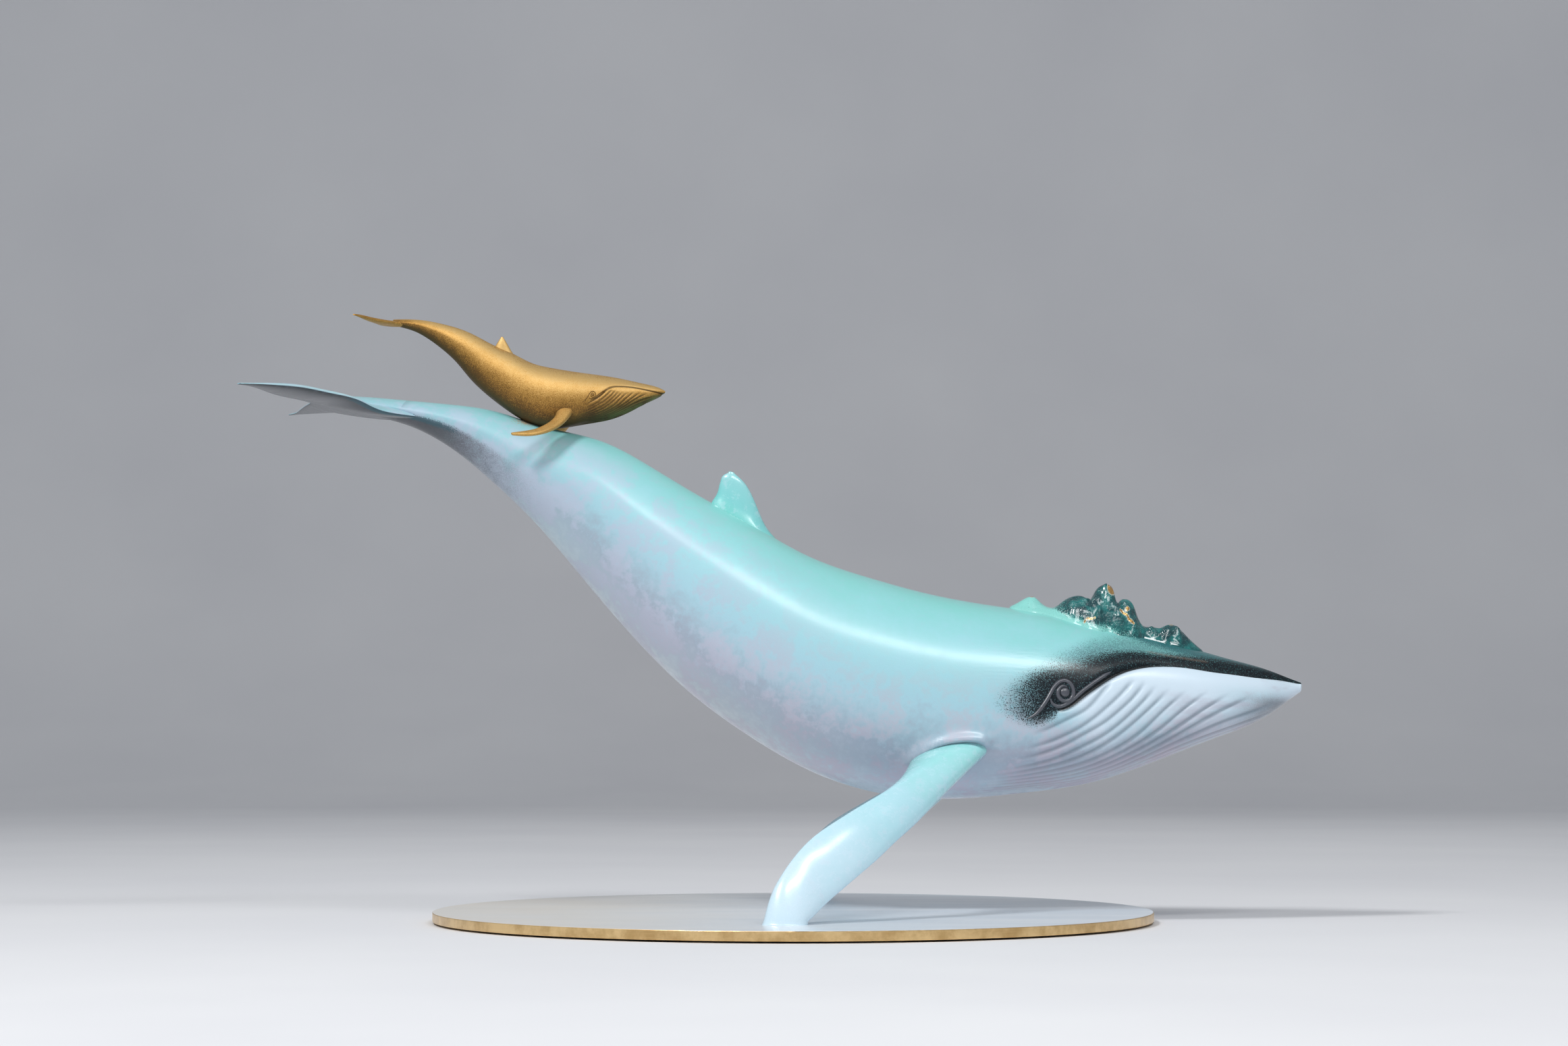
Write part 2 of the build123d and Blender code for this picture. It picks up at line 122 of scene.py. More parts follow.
def near_line(points: Array, line: Array) -> tuple[Array, Array, Array]:
    """Where points lie beside a line in a plane.

    Args:
        points: Points to measure, two coordinates each.
        line: Corners of the line.

    Returns:
        The distance from the line, the side of it (positive on its left), and how far
        along it the nearest place is, from 0 to 1.
    """
    lengths = running_length(line)
    best = np.full(len(points), 1e9)
    side = np.zeros(len(points))
    along = np.zeros(len(points))
    for index in range(len(line) - 1):
        start, run = line[index], line[index + 1] - line[index]
        size = float(run @ run)
        share = np.clip((points - start) @ run / size, 0, 1)
        off = points - start - share[:, None] * run
        distance = np.hypot(off[:, 0], off[:, 1])
        closer = distance < best
        best = np.where(closer, distance, best)
        turn = run[0] * (points[:, 1] - start[1]) - run[1] * (points[:, 0] - start[0])
        side = np.where(closer, np.sign(turn), side)
        place = (lengths[index] + share * math.sqrt(size)) / lengths[-1]
        along = np.where(closer, place, along)
    return best, side, along


def smooth_line(corners: Rows | Array, count: int) -> Array:
    """A smooth line of points through given corners."""
    points = np.array(corners, float)
    lengths = running_length(points)
    return spline(lengths, points, np.linspace(0, lengths[-1], count))


def ease(values: Array, low: float, high: float) -> Array:
    """Smooth step from 0 at low to 1 at high."""
    share = np.clip((values - low) / (high - low), 0, 1)
    return share * share * (3 - 2 * share)


def bell(values: Array, width: float) -> Array:
    """Bell curve of height 1 around 0."""
    return np.exp(-((values / width) ** 2))


def dark_ridge(rise: Array) -> Array:
    """Thin dark line where the slate underside of the tail ends, by the rise."""
    return bell(rise - 0.37, 0.08)


# Mesh making


def lone(name: str) -> Object:
    """Name the object just added and its mesh, and return it."""
    piece = bpy.context.object
    piece.name = name
    piece.data.name = name
    return piece


def choose(piece: Object) -> None:
    """Make one object the only selected and the active one."""
    bpy.ops.object.select_all(action="DESELECT")
    piece.select_set(True)
    bpy.context.view_layer.objects.active = piece


def finish_modifiers(piece: Object) -> None:
    """Apply every modifier of a piece."""
    choose(piece)
    for modifier in list(piece.modifiers):
        bpy.ops.object.modifier_apply(modifier=modifier.name)


def join_pieces(pieces: list[Object]) -> Object:
    """Join pieces into the first of them."""
    choose(pieces[0])
    for piece in pieces:
        piece.select_set(True)
    bpy.ops.object.join()
    return pieces[0]


def face_outwards(piece: Object, fill: bool = False) -> None:
    """Turn the faces of a piece outwards, after closing its open ends if asked."""
    choose(piece)
    bpy.ops.object.mode_set(mode="EDIT")
    bpy.ops.mesh.select_all(action="SELECT")
    if fill:
        bpy.ops.mesh.fill_holes(sides=0)
        bpy.ops.mesh.select_all(action="SELECT")
    bpy.ops.mesh.normals_make_consistent(inside=False)
    bpy.ops.object.mode_set(mode="OBJECT")


def extruded_tube(name: str, rings: int, around: int, levels: int = LEVELS) -> Object:
    """A straight tube, pulled out ring by ring from a circle and then subdivided.

    Args:
        name: Name of the piece.
        rings: How many times the circle is extruded.
        around: Corners of the circle.
        levels: How often each face is split in four.

    Returns:
        The tube along -X, one unit a ring.
    """
    bpy.ops.object.select_all(action="DESELECT")
    bpy.ops.mesh.primitive_circle_add(vertices=around, radius=1, rotation=(0, math.pi / 2, 0))
    tube = lone(name)
    bpy.ops.object.transform_apply(location=True, rotation=True, scale=True)
    bpy.ops.object.mode_set(mode="EDIT")
    bpy.ops.mesh.select_all(action="SELECT")
    for _ in range(rings):
        bpy.ops.mesh.extrude_region_move(TRANSFORM_OT_translate={"value": (-1, 0, 0)})
    bpy.ops.object.mode_set(mode="OBJECT")
    if levels:
        split = tube.modifiers.new("split", "SUBSURF")
        split.subdivision_type = "SIMPLE"
        split.levels = split.render_levels = levels
        finish_modifiers(tube)
    return tube


def fit_tube(tube: Object, grid: Array, fineness: int = FINENESS) -> tuple[Array, Array]:
    """Lay a tube's corners onto a grid of points and close its ends.

    Args:
        tube: A tube from extruded_tube.
        grid: Points by ring and by place around the ring, in millimetres.
        fineness: Rings of the grid for each extruded ring.

    Returns:
        Ring and place around the ring of each corner of the mesh.
    """
    flat = coordinates(tube)
    ring = np.clip(np.round(-flat[:, 0] * fineness).astype(int), 0, grid.shape[0] - 1)
    turn = np.arctan2(flat[:, 2], flat[:, 1]) / (2 * math.pi) * grid.shape[1]
    place = np.round(turn).astype(int) % grid.shape[1]
    set_coordinates(tube, grid[ring, place] * MM)
    face_outwards(tube, fill=True)
    return ring, place


def coordinates(piece: Object, kind: str = "co") -> Array:
    """Corners of a mesh as an array, or their normals where kind is normal."""
    flat = np.zeros(len(piece.data.vertices) * 3)
    piece.data.vertices.foreach_get(kind, flat)
    return flat.reshape(-1, 3)


def set_coordinates(piece: Object, points: Array) -> None:
    """Move the corners of a mesh."""
    piece.data.vertices.foreach_set("co", points.ravel())
    piece.data.update()


def mark(piece: Object, **marks: Array | float) -> None:
    """Keep numbers for each corner of a mesh, for its finish to read."""
    layers = piece.data.attributes
    for name, values in marks.items():
        layer = layers.get(name) or layers.new(name, "FLOAT", "POINT")
        layer.data.foreach_set("value", np.full(len(piece.data.vertices), values, np.float32))


def read_mark(piece: Object, name: str) -> Array:
    """The numbers that a mesh keeps under a name."""
    values = np.zeros(len(piece.data.vertices), np.float32)
    piece.data.attributes[name].data.foreach_get("value", values)
    return values


def smooth(piece: Object, angle: float = 60.0) -> None:
    """Shade a piece smooth, with edges sharper than an angle in degrees left sharp."""
    choose(piece)
    bpy.ops.object.shade_smooth_by_angle(angle=math.radians(angle))


def place_piece(piece: Object, slot: str, finish: Material, *nodes: str) -> None:
    """Dress a finished piece and put it on the frame.

    Args:
        piece: The piece.
        slot: Material slot of the record that its finish belongs to; not used.
        finish: Its material.
        nodes: The CAD nodes that it stands for.
    """
    piece.data.materials.clear()
    piece.data.materials.append(finish)
    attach(piece, BODY)
    if nodes:
        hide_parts(*nodes)
    log.info("%s: %d faces for %s", piece.name, len(piece.data.polygons), ", ".join(nodes))


# Finishes


def tint(red: float, green: float, blue: float) -> Colour:
    """Linear colour from display values between 0 and 255."""
    shares = (red / 255, green / 255, blue / 255)
    return tuple(s / 12.92 if s <= 0.04045 else ((s + 0.055) / 1.055) ** 2.4 for s in shares)


class Palette:
    """Node tree of one material, with short calls for the nodes it needs."""

    def __init__(self, name: str) -> None:
        """Start a material with a shader and nothing else."""
        self.material = bpy.data.materials.new(name)
        self.material.use_nodes = True
        self.tree = self.material.node_tree
        self.shader = self.tree.nodes["Principled BSDF"]
        self.place = self.tree.nodes.new("ShaderNodeTexCoord").outputs["Object"]

    def join(self, value: object, socket: Socket) -> None:
        """Give a socket a value, or link it to another socket."""
        if isinstance(value, Socket):
            self.tree.links.new(value, socket)
        elif isinstance(value, tuple) and len(value) == 3 and socket.type == "RGBA":
            socket.default_value = (*value, 1.0)
        else:
            socket.default_value = value

    def set(self, **values: object) -> None:
        """Set sockets of the shader, with _ for a space in their names."""
        for name, value in values.items():
            self.join(value, self.shader.inputs[name.replace("_", " ")])

    def mark(self, name: str) -> Socket:
        """The number that the mesh keeps under a name."""
        node = self.tree.nodes.new("ShaderNodeAttribute")
        node.attribute_name = name
        return node.outputs["Fac"]

    def stretched(self, scale: Triple) -> Socket:
        """Object coordinates with a scale for each axis."""
        node = self.tree.nodes.new("ShaderNodeMapping")
        self.join(self.place, node.inputs["Vector"])
        node.inputs["Scale"].default_value = scale
        return node.outputs["Vector"]

    def noise(
        self, scale: float, detail: float, rough: float, vector: Socket | None = None
    ) -> Socket:
        """Cloudy pattern, where scale is its number of clouds in a metre."""
        node = self.tree.nodes.new("ShaderNodeTexNoise")
        self.join(self.place if vector is None else vector, node.inputs["Vector"])
        node.inputs["Scale"].default_value = scale
        node.inputs["Detail"].default_value = detail
        node.inputs["Roughness"].default_value = rough
        return node.outputs["Fac"]

    def cells(self, scale: float) -> Socket:
        """Soft distance to scattered points, where scale is their number in a metre."""
        node = self.tree.nodes.new("ShaderNodeTexVoronoi")
        node.feature = "SMOOTH_F1"
        self.join(self.place, node.inputs["Vector"])
        node.inputs["Scale"].default_value = scale
        return node.outputs["Distance"]

    def ramp(self, share: object, stops: tuple[tuple[float, object], ...]) -> Socket:
        """Colours, or greys from plain numbers, between stops."""
        node = self.tree.nodes.new("ShaderNodeValToRGB")
        elements = node.color_ramp.elements
        while len(elements) < len(stops):
            elements.new(0.5)
        for element, (position, colour) in zip(elements, stops):
            element.position = position
            whole = colour if isinstance(colour, tuple) else (colour, colour, colour)
            element.color = (*whole, 1.0)
        self.join(share, node.inputs["Fac"])
        return node.outputs["Color"]

    def mix(self, share: object, first: object, second: object) -> Socket:
        """Blend of two colours by a share."""
        node = self.tree.nodes.new("ShaderNodeMix")
        node.data_type = "RGBA"
        self.join(share, node.inputs[0])
        self.join(first, node.inputs[6])
        self.join(second, node.inputs[7])
        return node.outputs[2]

    def sum(self, operation: str, *values: object) -> Socket:
        """Sum on up to three numbers."""
        node = self.tree.nodes.new("ShaderNodeMath")
        node.operation = operation
        for value, socket in zip(values, node.inputs):
            self.join(value, socket)
        return node.outputs[0]

    def times(self, first: object, second: object) -> Socket:
        """Product of two numbers."""
        return self.sum("MULTIPLY", first, second)

    def stirred(self, value: object, *patterns: tuple[object, float]) -> Socket:
        """A value with patterns added, each as a swing of some size about zero."""
        for pattern, size in patterns:
            value = self.sum("ADD", value, self.sum("MULTIPLY_ADD", pattern, size, -size / 2))
        return value

    def layers(self, colour: object, *coats: tuple[object, float, object]) -> Socket:
        """Lay colours over one another, each by a share and a strength."""
        for share, strength, paint in coats:
            whole = share if strength == 1 else self.times(share, strength)
            colour = self.mix(whole, colour, paint)
        return colour

    def share(self, value: object, low: float, high: float) -> Socket:
        """Smooth share from 0 at low to 1 at high."""
        node = self.tree.nodes.new("ShaderNodeMapRange")
        node.interpolation_type = "SMOOTHSTEP"
        self.join(value, node.inputs["Value"])
        node.inputs["From Min"].default_value = low
        node.inputs["From Max"].default_value = high
        return node.outputs["Result"]

    def bump(
        self, height: object, depth: float, strength: float, onto: object = None
    ) -> Socket:
        """Normal from a height pattern, where depth is in millimetres."""
        node = self.tree.nodes.new("ShaderNodeBump")
        node.inputs["Strength"].default_value = strength
        node.inputs["Distance"].default_value = depth * MM
        self.join(height, node.inputs["Height"])
        if onto is not None:
            self.join(onto, node.inputs["Normal"])
        return node.outputs["Normal"]


@dataclass(frozen=True)
class Patina:
    """Coloured patina under lacquer, from the back down to the belly.

    The main marks that it reads are rise (1 on the back, 0 on the belly), along (0 at the
    chin, 1 at the tail), under (dark underside: mauve patina with slate over it as painted
    shade, and all painted shade under the chin), soot and spray (the patch round the eye and
    the specks beside it), jaw (white), crease and groove (pleat and mouth lines darkened as
    painted shade), keel_highlight (painted highlight on the flukes' front edges) and polish.
    """

    mint: Colour = tint(134, 213, 207)
    aqua: Colour = tint(155, 214, 220)
    ice: Colour = tint(167, 208, 221)
    lilac: Colour = tint(164, 177, 194)
    rose: Colour = tint(196, 184, 200)
    belly: Colour = tint(202, 214, 224)
    jaw: Colour = tint(214, 230, 243)
    soot: Colour = tint(10, 15, 23)
    petrol: Colour = tint(22, 112, 118)
    crease: Colour = tint(92, 118, 134)
    umber: Colour = tint(150, 128, 128)
    sea: Colour = tint(136, 184, 192)
    mauve: Colour = tint(108, 112, 122)
    # Slate darkens the mauve patina of the underside further, as painted shade.
    slate: Colour = tint(34, 35, 40)
    burnished: Colour = (0.285, 0.285, 0.285)  # roughness, below 0.27 a render shows an edge

    def material(self) -> Material:
        """Build the patina of the whale's body."""
        p = Palette("body_patina")
        cloud = p.noise(41.7, 3, 0.6)
        fleece = p.noise(213.3, 6, 0.68)
        grain = p.noise(1517, 3, 0.6)
        stipple = p.noise(2000, 1, 0.5)
        along, under, throat = map(p.mark, ("along", "under", "throat"))
        spray, soot, polish = map(p.mark, ("spray", "soot", "polish"))
        rise = p.stirred(p.mark("rise"), (cloud, 0.30), (fleece, 0.24))
        flank = p.ramp(
            rise,
            (
                (0.02, self.belly), (0.16, tint(184, 197, 210)), (0.30, self.lilac),
                (0.46, self.ice), (0.66, self.aqua), (0.90, self.mint),
            ),
        )
        blush = p.share(p.sum("MULTIPLY_ADD", fleece, 0.7, cloud), 0.78, 0.98)
        blush = p.times(blush, p.share(rise, 0.74, 0.36))
        lilac = p.share(p.sum("MULTIPLY_ADD", fleece, 0.6, cloud), 0.70, 0.92)
        lilac = p.times(lilac, p.times(p.share(along, 0.4, 0.75), p.share(rise, 1.0, 0.7)))
        # Painted shade on the underside: where under is high the colour goes to mauve patina and
        # then to slate, which is painted shade; under the chin all of it is painted shade.
        low = p.share(p.stirred(under, (fleece, 0.28), (stipple, 0.5)), 0.15, 0.85)
        shade = p.layers(
            self.mauve,
            (p.share(under, 0.5, 1.0), 1, self.slate),
            (p.share(fleece, 0.4, 0.7), 0.5, tint(74, 74, 82)),
        )
        stain = p.share(p.noise(57, 4, 0.6, p.stretched((0.31, 1, 1.6))), 0.48, 0.7)
        brown = p.times(throat, p.share(rise, 0.34, 0.12))
        petrol = p.share(p.stirred(p.mark("petrol"), (stipple, 0.9)), 0.34, 0.70)
        ridge = p.share(p.stirred(p.mark("ridge"), (stipple, 1.2)), 0.35, 0.8)
        fleck = p.share(p.stirred(spray, (stipple, 2.2)), 0.62, 1.0)
        speck = p.share(p.stirred(soot, (stipple, 2.4)), 0.44, 0.80)
        smear = p.share(p.stirred(p.mark("smear"), (stipple, 1.6)), 0.35, 0.8)
        colour = p.layers(
            flank,
            (blush, 0.7, self.rose),
            (p.share(fleece, 0.5, 0.72), 0.35, self.ice),
            (p.share(along, 0.62, 0.98), 0.55, self.sea),
            (lilac, 0.6, tint(180, 194, 214)),
            (low, 0.94, shade),
            (p.mark("jaw"), 1, self.jaw),
            (p.times(throat, stain), 0.5, tint(178, 170, 186)),
            # Painted shade in the pleat grooves, browner low on the throat.
            (p.mark("crease"), 0.5, p.mix(brown, self.crease, self.umber)),
            (petrol, 0.9, self.petrol),
            (ridge, 0.8, tint(34, 84, 98)),
            # Painted highlight: pale teal along the front edges of the flukes.
            (p.mark("keel_highlight"), 0.8, tint(186, 220, 228)),
            (p.share(spray, 0.2, 1.0), 0.30, tint(38, 112, 112)),
            (p.times(fleck, p.share(spray, 0.1, 0.6)), 0.5, tint(26, 66, 74)),
            (p.share(soot, 0.0, 1.0), 0.66, tint(24, 50, 58)),
            (p.times(speck, p.share(soot, 0.01, 0.3)), 0.96, self.soot),
            (p.mark("bead"), 0.3, tint(142, 122, 108)),
            (smear, 0.7, tint(192, 140, 82)),
            # Painted shade: near-black in the mouth groove.
            (p.mark("groove"), 1, tint(8, 11, 14)),
        )
        satin = p.ramp(fleece, ((0.3, 0.30), (0.7, 0.46)))
        brushed = p.noise(700, 1, 0.6, p.stretched((0.0095, 1.0, 1.0)))
        brushed = p.times(p.sum("SUBTRACT", brushed, 0.5), polish)
        normal = p.bump(grain, 0.08, 0.5, p.bump(brushed, 0.16, 0.5))
        p.set(Base_Color=colour, Roughness=p.mix(polish, satin, self.burnished), Normal=normal)
        p.set(Specular_IOR_Level=p.ramp(soot, ((0.3, 0.45), (0.95, 0.2))))
        p.set(Coat_Weight=p.ramp(soot, ((0.3, 0.55), (0.95, 0.18))), Coat_Roughness=0.2)
        return p.material


@dataclass(frozen=True)
class FinPatina:
    """Patina of a fin, whose colour runs from its root to its tip."""

    name: str
    root: Colour
    middle: Colour
    tip: Colour
    # Colour painted on faces that look down, as painted shade.
    under: Colour | None = None

    def material(self) -> Material:
        """Build the patina of one fin."""
        p = Palette(self.name)
        fleece = p.noise(230, 6, 0.66)
        grain = p.noise(1500, 3, 0.6)
        out = p.stirred(p.mark("along"), (p.noise(46, 3, 0.6), 0.4), (fleece, 0.26))
        colour = p.layers(
            p.ramp(out, ((0.02, self.root), (0.42, self.middle), (0.92, self.tip))),
            (p.share(fleece, 0.5, 0.7), 0.3, tint(204, 222, 234)),
        )
        # Painted shade: faces that look down go darker and bluer.
        if self.under:
            low = p.share(p.stirred(p.mark("under"), (grain, 0.5)), 0.3, 0.8)
            colour = p.layers(colour, (low, 0.3, self.under))
        gloss = p.ramp(fleece, ((0.3, 0.20), (0.7, 0.32)))
        p.set(Base_Color=colour, Roughness=gloss, Normal=p.bump(grain, 0.05, 0.5))
        p.set(Coat_Weight=0.6, Coat_Roughness=0.14)
        return p.material


@dataclass(frozen=True)
class Glaze:
    """Thick wrinkled glaze of the crest, with gilt on its tips."""

    deep: Colour = tint(10, 62, 68)
    teal: Colour = tint(26, 118, 116)
    mint: Colour = tint(138, 212, 204)
    gilt: Colour = tint(214, 170, 104)

    def material(self) -> Material:
        """Build the glaze of the crest."""
        p = Palette("crest_glaze")
        fade, gilt, lumpy = map(p.mark, ("fade", "gilt", "lumpy"))
        leaf = p.share(gilt, 0.42, 0.6)
        pale = p.share(p.stirred(fade, (p.noise(2300, 2, 0.5), 2.4)), 0.25, 0.75)
        colour = p.layers(
            self.deep,
            (p.share(p.noise(160, 4, 0.6), 0.35, 0.7), 1, self.teal),
            (pale, 1, self.mint),
            (p.share(gilt, 0.08, 0.3), 0.7, tint(206, 214, 200)),
            (leaf, 1, self.gilt),
        )
        normal = p.bump(p.times(p.noise(420, 3, 0.6), lumpy), 1.3, 0.7)
        normal = p.bump(p.times(p.cells(560), lumpy), 0.9, 0.5, normal)
        p.set(Base_Color=colour, Roughness=p.ramp(fade, ((0.1, 0.11), (0.8, 0.36))), Normal=normal)
        p.set(Metallic=p.times(leaf, 0.8), Coat_Weight=0.6, Coat_Roughness=0.05)
        return p.material


@dataclass(frozen=True)
class Gilding:
    """Satin gilding of the calf, with painted shade: darker and browner low down and in creases.
    """

    light: Colour = tint(212, 180, 120)
    gold: Colour = tint(202, 160, 90)
    warm: Colour = tint(172, 128, 58)
    brown: Colour = tint(98, 68, 26)
    verdigris: Colour = tint(104, 124, 70)

    def material(self) -> Material:
        """Build the gilding."""
        p = Palette("calf_gilding")
        cloud = p.noise(110, 4, 0.6)
        grain = p.noise(3000, 2, 0.5)
        patterns = ((cloud, 0.24), (p.noise(600, 5, 0.66), 0.16), (grain, 0.8))
        # Painted shade: the gilding runs from dark brown on the belly up to light gold on the
        # flanks.
        gold = p.ramp(
            p.stirred(p.mark("rise"), *patterns),
            (
                (0.06, tint(84, 66, 32)), (0.28, self.brown), (0.46, self.warm),
                (0.62, self.gold), (0.84, self.light), (1.0, self.warm),
            ),
        )
        green = p.times(p.mark("chin"), p.share(cloud, 0.3, 0.6))
        crease = p.mark("crease")
        # Creases are painted dark brown, as painted shade.
        colour = p.layers(gold, (green, 0.75, self.verdigris), (crease, 0.9, tint(52, 38, 20)))
        worn = p.ramp(grain, ((0.3, 0.44), (0.7, 0.58)))
        p.set(Base_Color=colour, Metallic=0.62, Roughness=worn, Normal=p.bump(grain, 0.07, 0.8))
        p.set(Coat_Weight=0.1, Coat_Roughness=0.3)
        return p.material


@dataclass(frozen=True)
class PlateFinish:
    """Brushed brass plate whose top is painted pale and faintly streaked."""

    pale: Colour = tint(234, 242, 249)
    cool: Colour = tint(218, 230, 240)
    brass: Colour = tint(240, 206, 148)
    dark: Colour = tint(200, 162, 104)

    def material(self, top: float) -> Material:
        """Build the finish of the plate.

        Args:
            top: Height of the plate's top in millimetres.

        Returns:
            The material.
        """
        p = Palette("plate_finish")
        axes = p.tree.nodes.new("ShaderNodeSeparateXYZ")
        p.join(p.place, axes.inputs[0])
        height = p.share(axes.outputs["Z"], (top - 0.16) * MM, (top - 0.05) * MM)
        streak = p.noise(38, 5, 0.62, p.stretched((0.25, 1.0, 1.0)))
        # Painted reflection: the pale top turns warmer towards its left end.
        warm = p.sum("MULTIPLY_ADD", p.noise(9, 4, 0.6), 0.8, 0.3)
        warm = p.times(p.share(axes.outputs["X"], 0.06, -0.16), warm)
        paint = p.layers(
            self.pale, (p.share(streak, 0.35, 0.7), 1, self.cool), (warm, 1, tint(232, 222, 204))
        )
        line = p.noise(2600, 2, 0.5, p.stretched((0.02, 0.02, 1.0)))
        metal = p.layers(
            self.brass,
            (p.share(p.noise(70, 5, 0.65), 0.35, 0.7), 1, self.dark),
            (p.share(line, 0.4, 0.7), 0.3, tint(226, 196, 140)),
        )
        bare = p.times(p.sum("SUBTRACT", 1.0, height), 0.7)
        rough = p.ramp(height, ((0.0, 0.34), (1.0, 0.28)))
        p.set(Base_Color=p.mix(height, metal, paint), Metallic=bare, Roughness=rough)
        p.set(Normal=p.bump(line, 0.04, 0.6), Coat_Weight=0.25, Coat_Roughness=0.2)
        return p.material


class Hidden(Enum):
    """Finishes of what is inside or under the figure."""

    STEEL = "steel"
    FELT = "felt"

    def material(self) -> Material:
        """Build the finish."""
        p = Palette("hidden_" + self.value)
        grain = p.noise(1800, 4, 0.6)
        if self is Hidden.STEEL:
            colour = p.ramp(grain, ((0.3, tint(168, 168, 170)), (0.7, tint(200, 200, 203))))
            p.set(Base_Color=colour, Metallic=1.0, Roughness=0.32, Normal=p.bump(grain, 0.03, 0.5))
            return p.material
        colour = p.ramp(grain, ((0.3, tint(34, 38, 42)), (0.7, tint(58, 63, 68))))
        p.set(Base_Color=colour, Roughness=0.95, Normal=p.bump(grain, 0.3, 0.9))
        p.set(Sheen_Weight=0.4)
        return p.material


# Swimming bodies


@dataclass
class SwimmingForm:
    """Body of a whale as sections between points on its back and its belly."""

    origin_x: float
    origin_z: float
    length: float
    rise: float
    breadth: float
    sense: int
    rows: Rows
    head: Triple = (-0.24, 0.50, 0.66)
    trunk: Triple = (-0.06, 0.56, 0.60)
    stock: Triple = (0.04, 0.40, 0.40)

    def point(self, along: float, up: float) -> Pair:
        """Place in the middle plane from shares of the length and the rise."""
        return self.origin_x + self.sense * self.length * along, self.origin_z + self.rise * up

    def place(self, along: float, up: float, out: float = 0.0) -> Triple:
        """Place at a distance out from the middle plane."""
        x, z = self.point(along, up)
        return x, out, z

    def form(self, share: float) -> Triple:
        """Widest place and both fullnesses between head, trunk and stock."""
        far = self.stock if share > 0 else self.head
        return tuple(n + (f - n) * abs(share) for n, f in zip(self.trunk, far))

    def half_outline(self, half_width: float, half_height: float, share: float) -> Array:
        """Right half of a section, from the back down to the belly."""
        side, upper, lower = self.form(share)
        flank = side * half_height
        above, below = half_height - flank, half_height + flank
        over = quarter(
            (
                (0, half_height),
                (half_width * upper, half_height),
                (half_width, flank + above * upper),
                (half_width, flank),
            )
        )
        under = quarter(
            (
                (half_width, flank),
                (half_width, flank - below * lower),
                (half_width * lower, -half_height),
                (0, -half_height),
            )
        )
        return np.vstack([over, under[1:]])

    def edges(self) -> tuple[Array, Array, Array]:
        """Points of the back and of the belly, and the running length between them."""
        rows = np.array(self.rows)
        back = np.stack(self.point(rows[:, 0], rows[:, 1]), axis=-1)
        belly = np.stack(self.point(rows[:, 2], rows[:, 3]), axis=-1)
        return back, belly, running_length((back + belly) / 2)

    def table(self, shares: Array) -> Array:
        """Back, belly, half breadth and form at shares of the way along the body."""
        rows = np.array(self.rows)
        back, belly, run = self.edges()
        values = np.c_[back, belly, rows[:, 4] * self.breadth / 2, rows[:, 5]]
        return spline(run, values, shares * run[-1])

    def reach(self, row: int) -> float:
        """How far along the body a row of the table is, from 0 to 1."""
        run = self.edges()[2]
        return float(run[row] / run[-1])

    def grid(self, shares: Array, around: int, nose: float) -> tuple[Array, Array]:
        """Points of the body by ring and by place around it.

        Args:
            shares: Places of the rings, from 0 at the nose to 1 at the tail.
            around: Points around a ring, from the +Y side up over the back.
            nose: How far the rounded nose stands before the first section.

        Returns:
            The points, and how far each lies from the belly around its section.
        """
        half = around // 2
        points = np.zeros((len(shares), around, 3))
        girth = np.zeros((len(shares), around))
        quarter_turn = around // 4
        for ring, row in enumerate(self.table(np.clip(shares, 0, 1))):
            centre, span = (row[:2] + row[2:4]) / 2, row[:2] - row[2:4]
            height = float(np.hypot(*span)) / 2
            upward = span / (2 * height)
            outline = self.half_outline(row[4], height, row[5])
            lengths = running_length(outline)
            places = np.linspace(0, lengths[-1], half + 1)
            across = np.interp(places, lengths, outline[:, 0])
            up = np.interp(places, lengths, outline[:, 1])
            if shares[ring] < 0:
                share = 1 + shares[ring] / -shares[0]
                shrink = math.sqrt(max(1 - (1 - share) ** 2, 0.0004))
                across, up = across * shrink, up * shrink
                ahead = nose * (1 - share)
                centre = centre + np.array([upward[1], -upward[0]]) * ahead * -self.sense
            for side, order in ((-1, range(half + 1)), (1, range(1, half))):
                for place in order:
                    spot = (quarter_turn - side * place) % around
                    points[ring, spot] = (
                        centre[0] + upward[0] * up[place],
                        side * across[place],
                        centre[1] + upward[1] * up[place],
                    )
                    girth[ring, spot] = lengths[-1] - places[place]
        return points, girth


WHALE_ROWS: Rows = (
    (0.0025, 0.286, 0.0036, 0.260, 0.05, -1.0),
    (0.010, 0.293, 0.013, 0.243, 0.11, -1.0),
    (0.032, 0.315, 0.039, 0.198, 0.26, -1.0),
    (0.070, 0.343, 0.083, 0.150, 0.46, -1.0),
    (0.122, 0.381, 0.141, 0.093, 0.65, -0.9),
    (0.181, 0.418, 0.203, 0.040, 0.80, -0.7),
    (0.239, 0.452, 0.265, 0.015, 0.91, -0.4),
    (0.298, 0.475, 0.330, 0.000, 0.98, -0.1),
    (0.356, 0.502, 0.392, 0.007, 1.00, 0.0),
    (0.414, 0.542, 0.460, 0.053, 0.98, 0.0),
    (0.473, 0.595, 0.528, 0.147, 0.90, 0.0),
    (0.525, 0.668, 0.590, 0.263, 0.80, 0.1),
    (0.577, 0.742, 0.645, 0.402, 0.67, 0.25),
    (0.629, 0.822, 0.694, 0.548, 0.54, 0.45),
    (0.681, 0.888, 0.739, 0.682, 0.42, 0.65),
    (0.733, 0.920, 0.780, 0.783, 0.33, 0.85),
    (0.778, 0.957, 0.816, 0.859, 0.27, 1.0),
    (0.820, 0.973, 0.846, 0.905, 0.235, 1.0),
    (0.862, 0.983, 0.872, 0.930, 0.215, 1.0),
)
STOCK_END_ROWS: Rows = (
    (0.905, 0.992, 0.910, 0.955, 0.25, 1.0),
    (0.935, 0.995, 0.936, 0.975, 0.30, 1.0),
)
WHALE = SwimmingForm(270.3, 64.9, 552.0, 215.0, 102.0, -1, WHALE_ROWS + STOCK_END_ROWS)
SEAM = WHALE.reach(len(WHALE_ROWS) - 1)

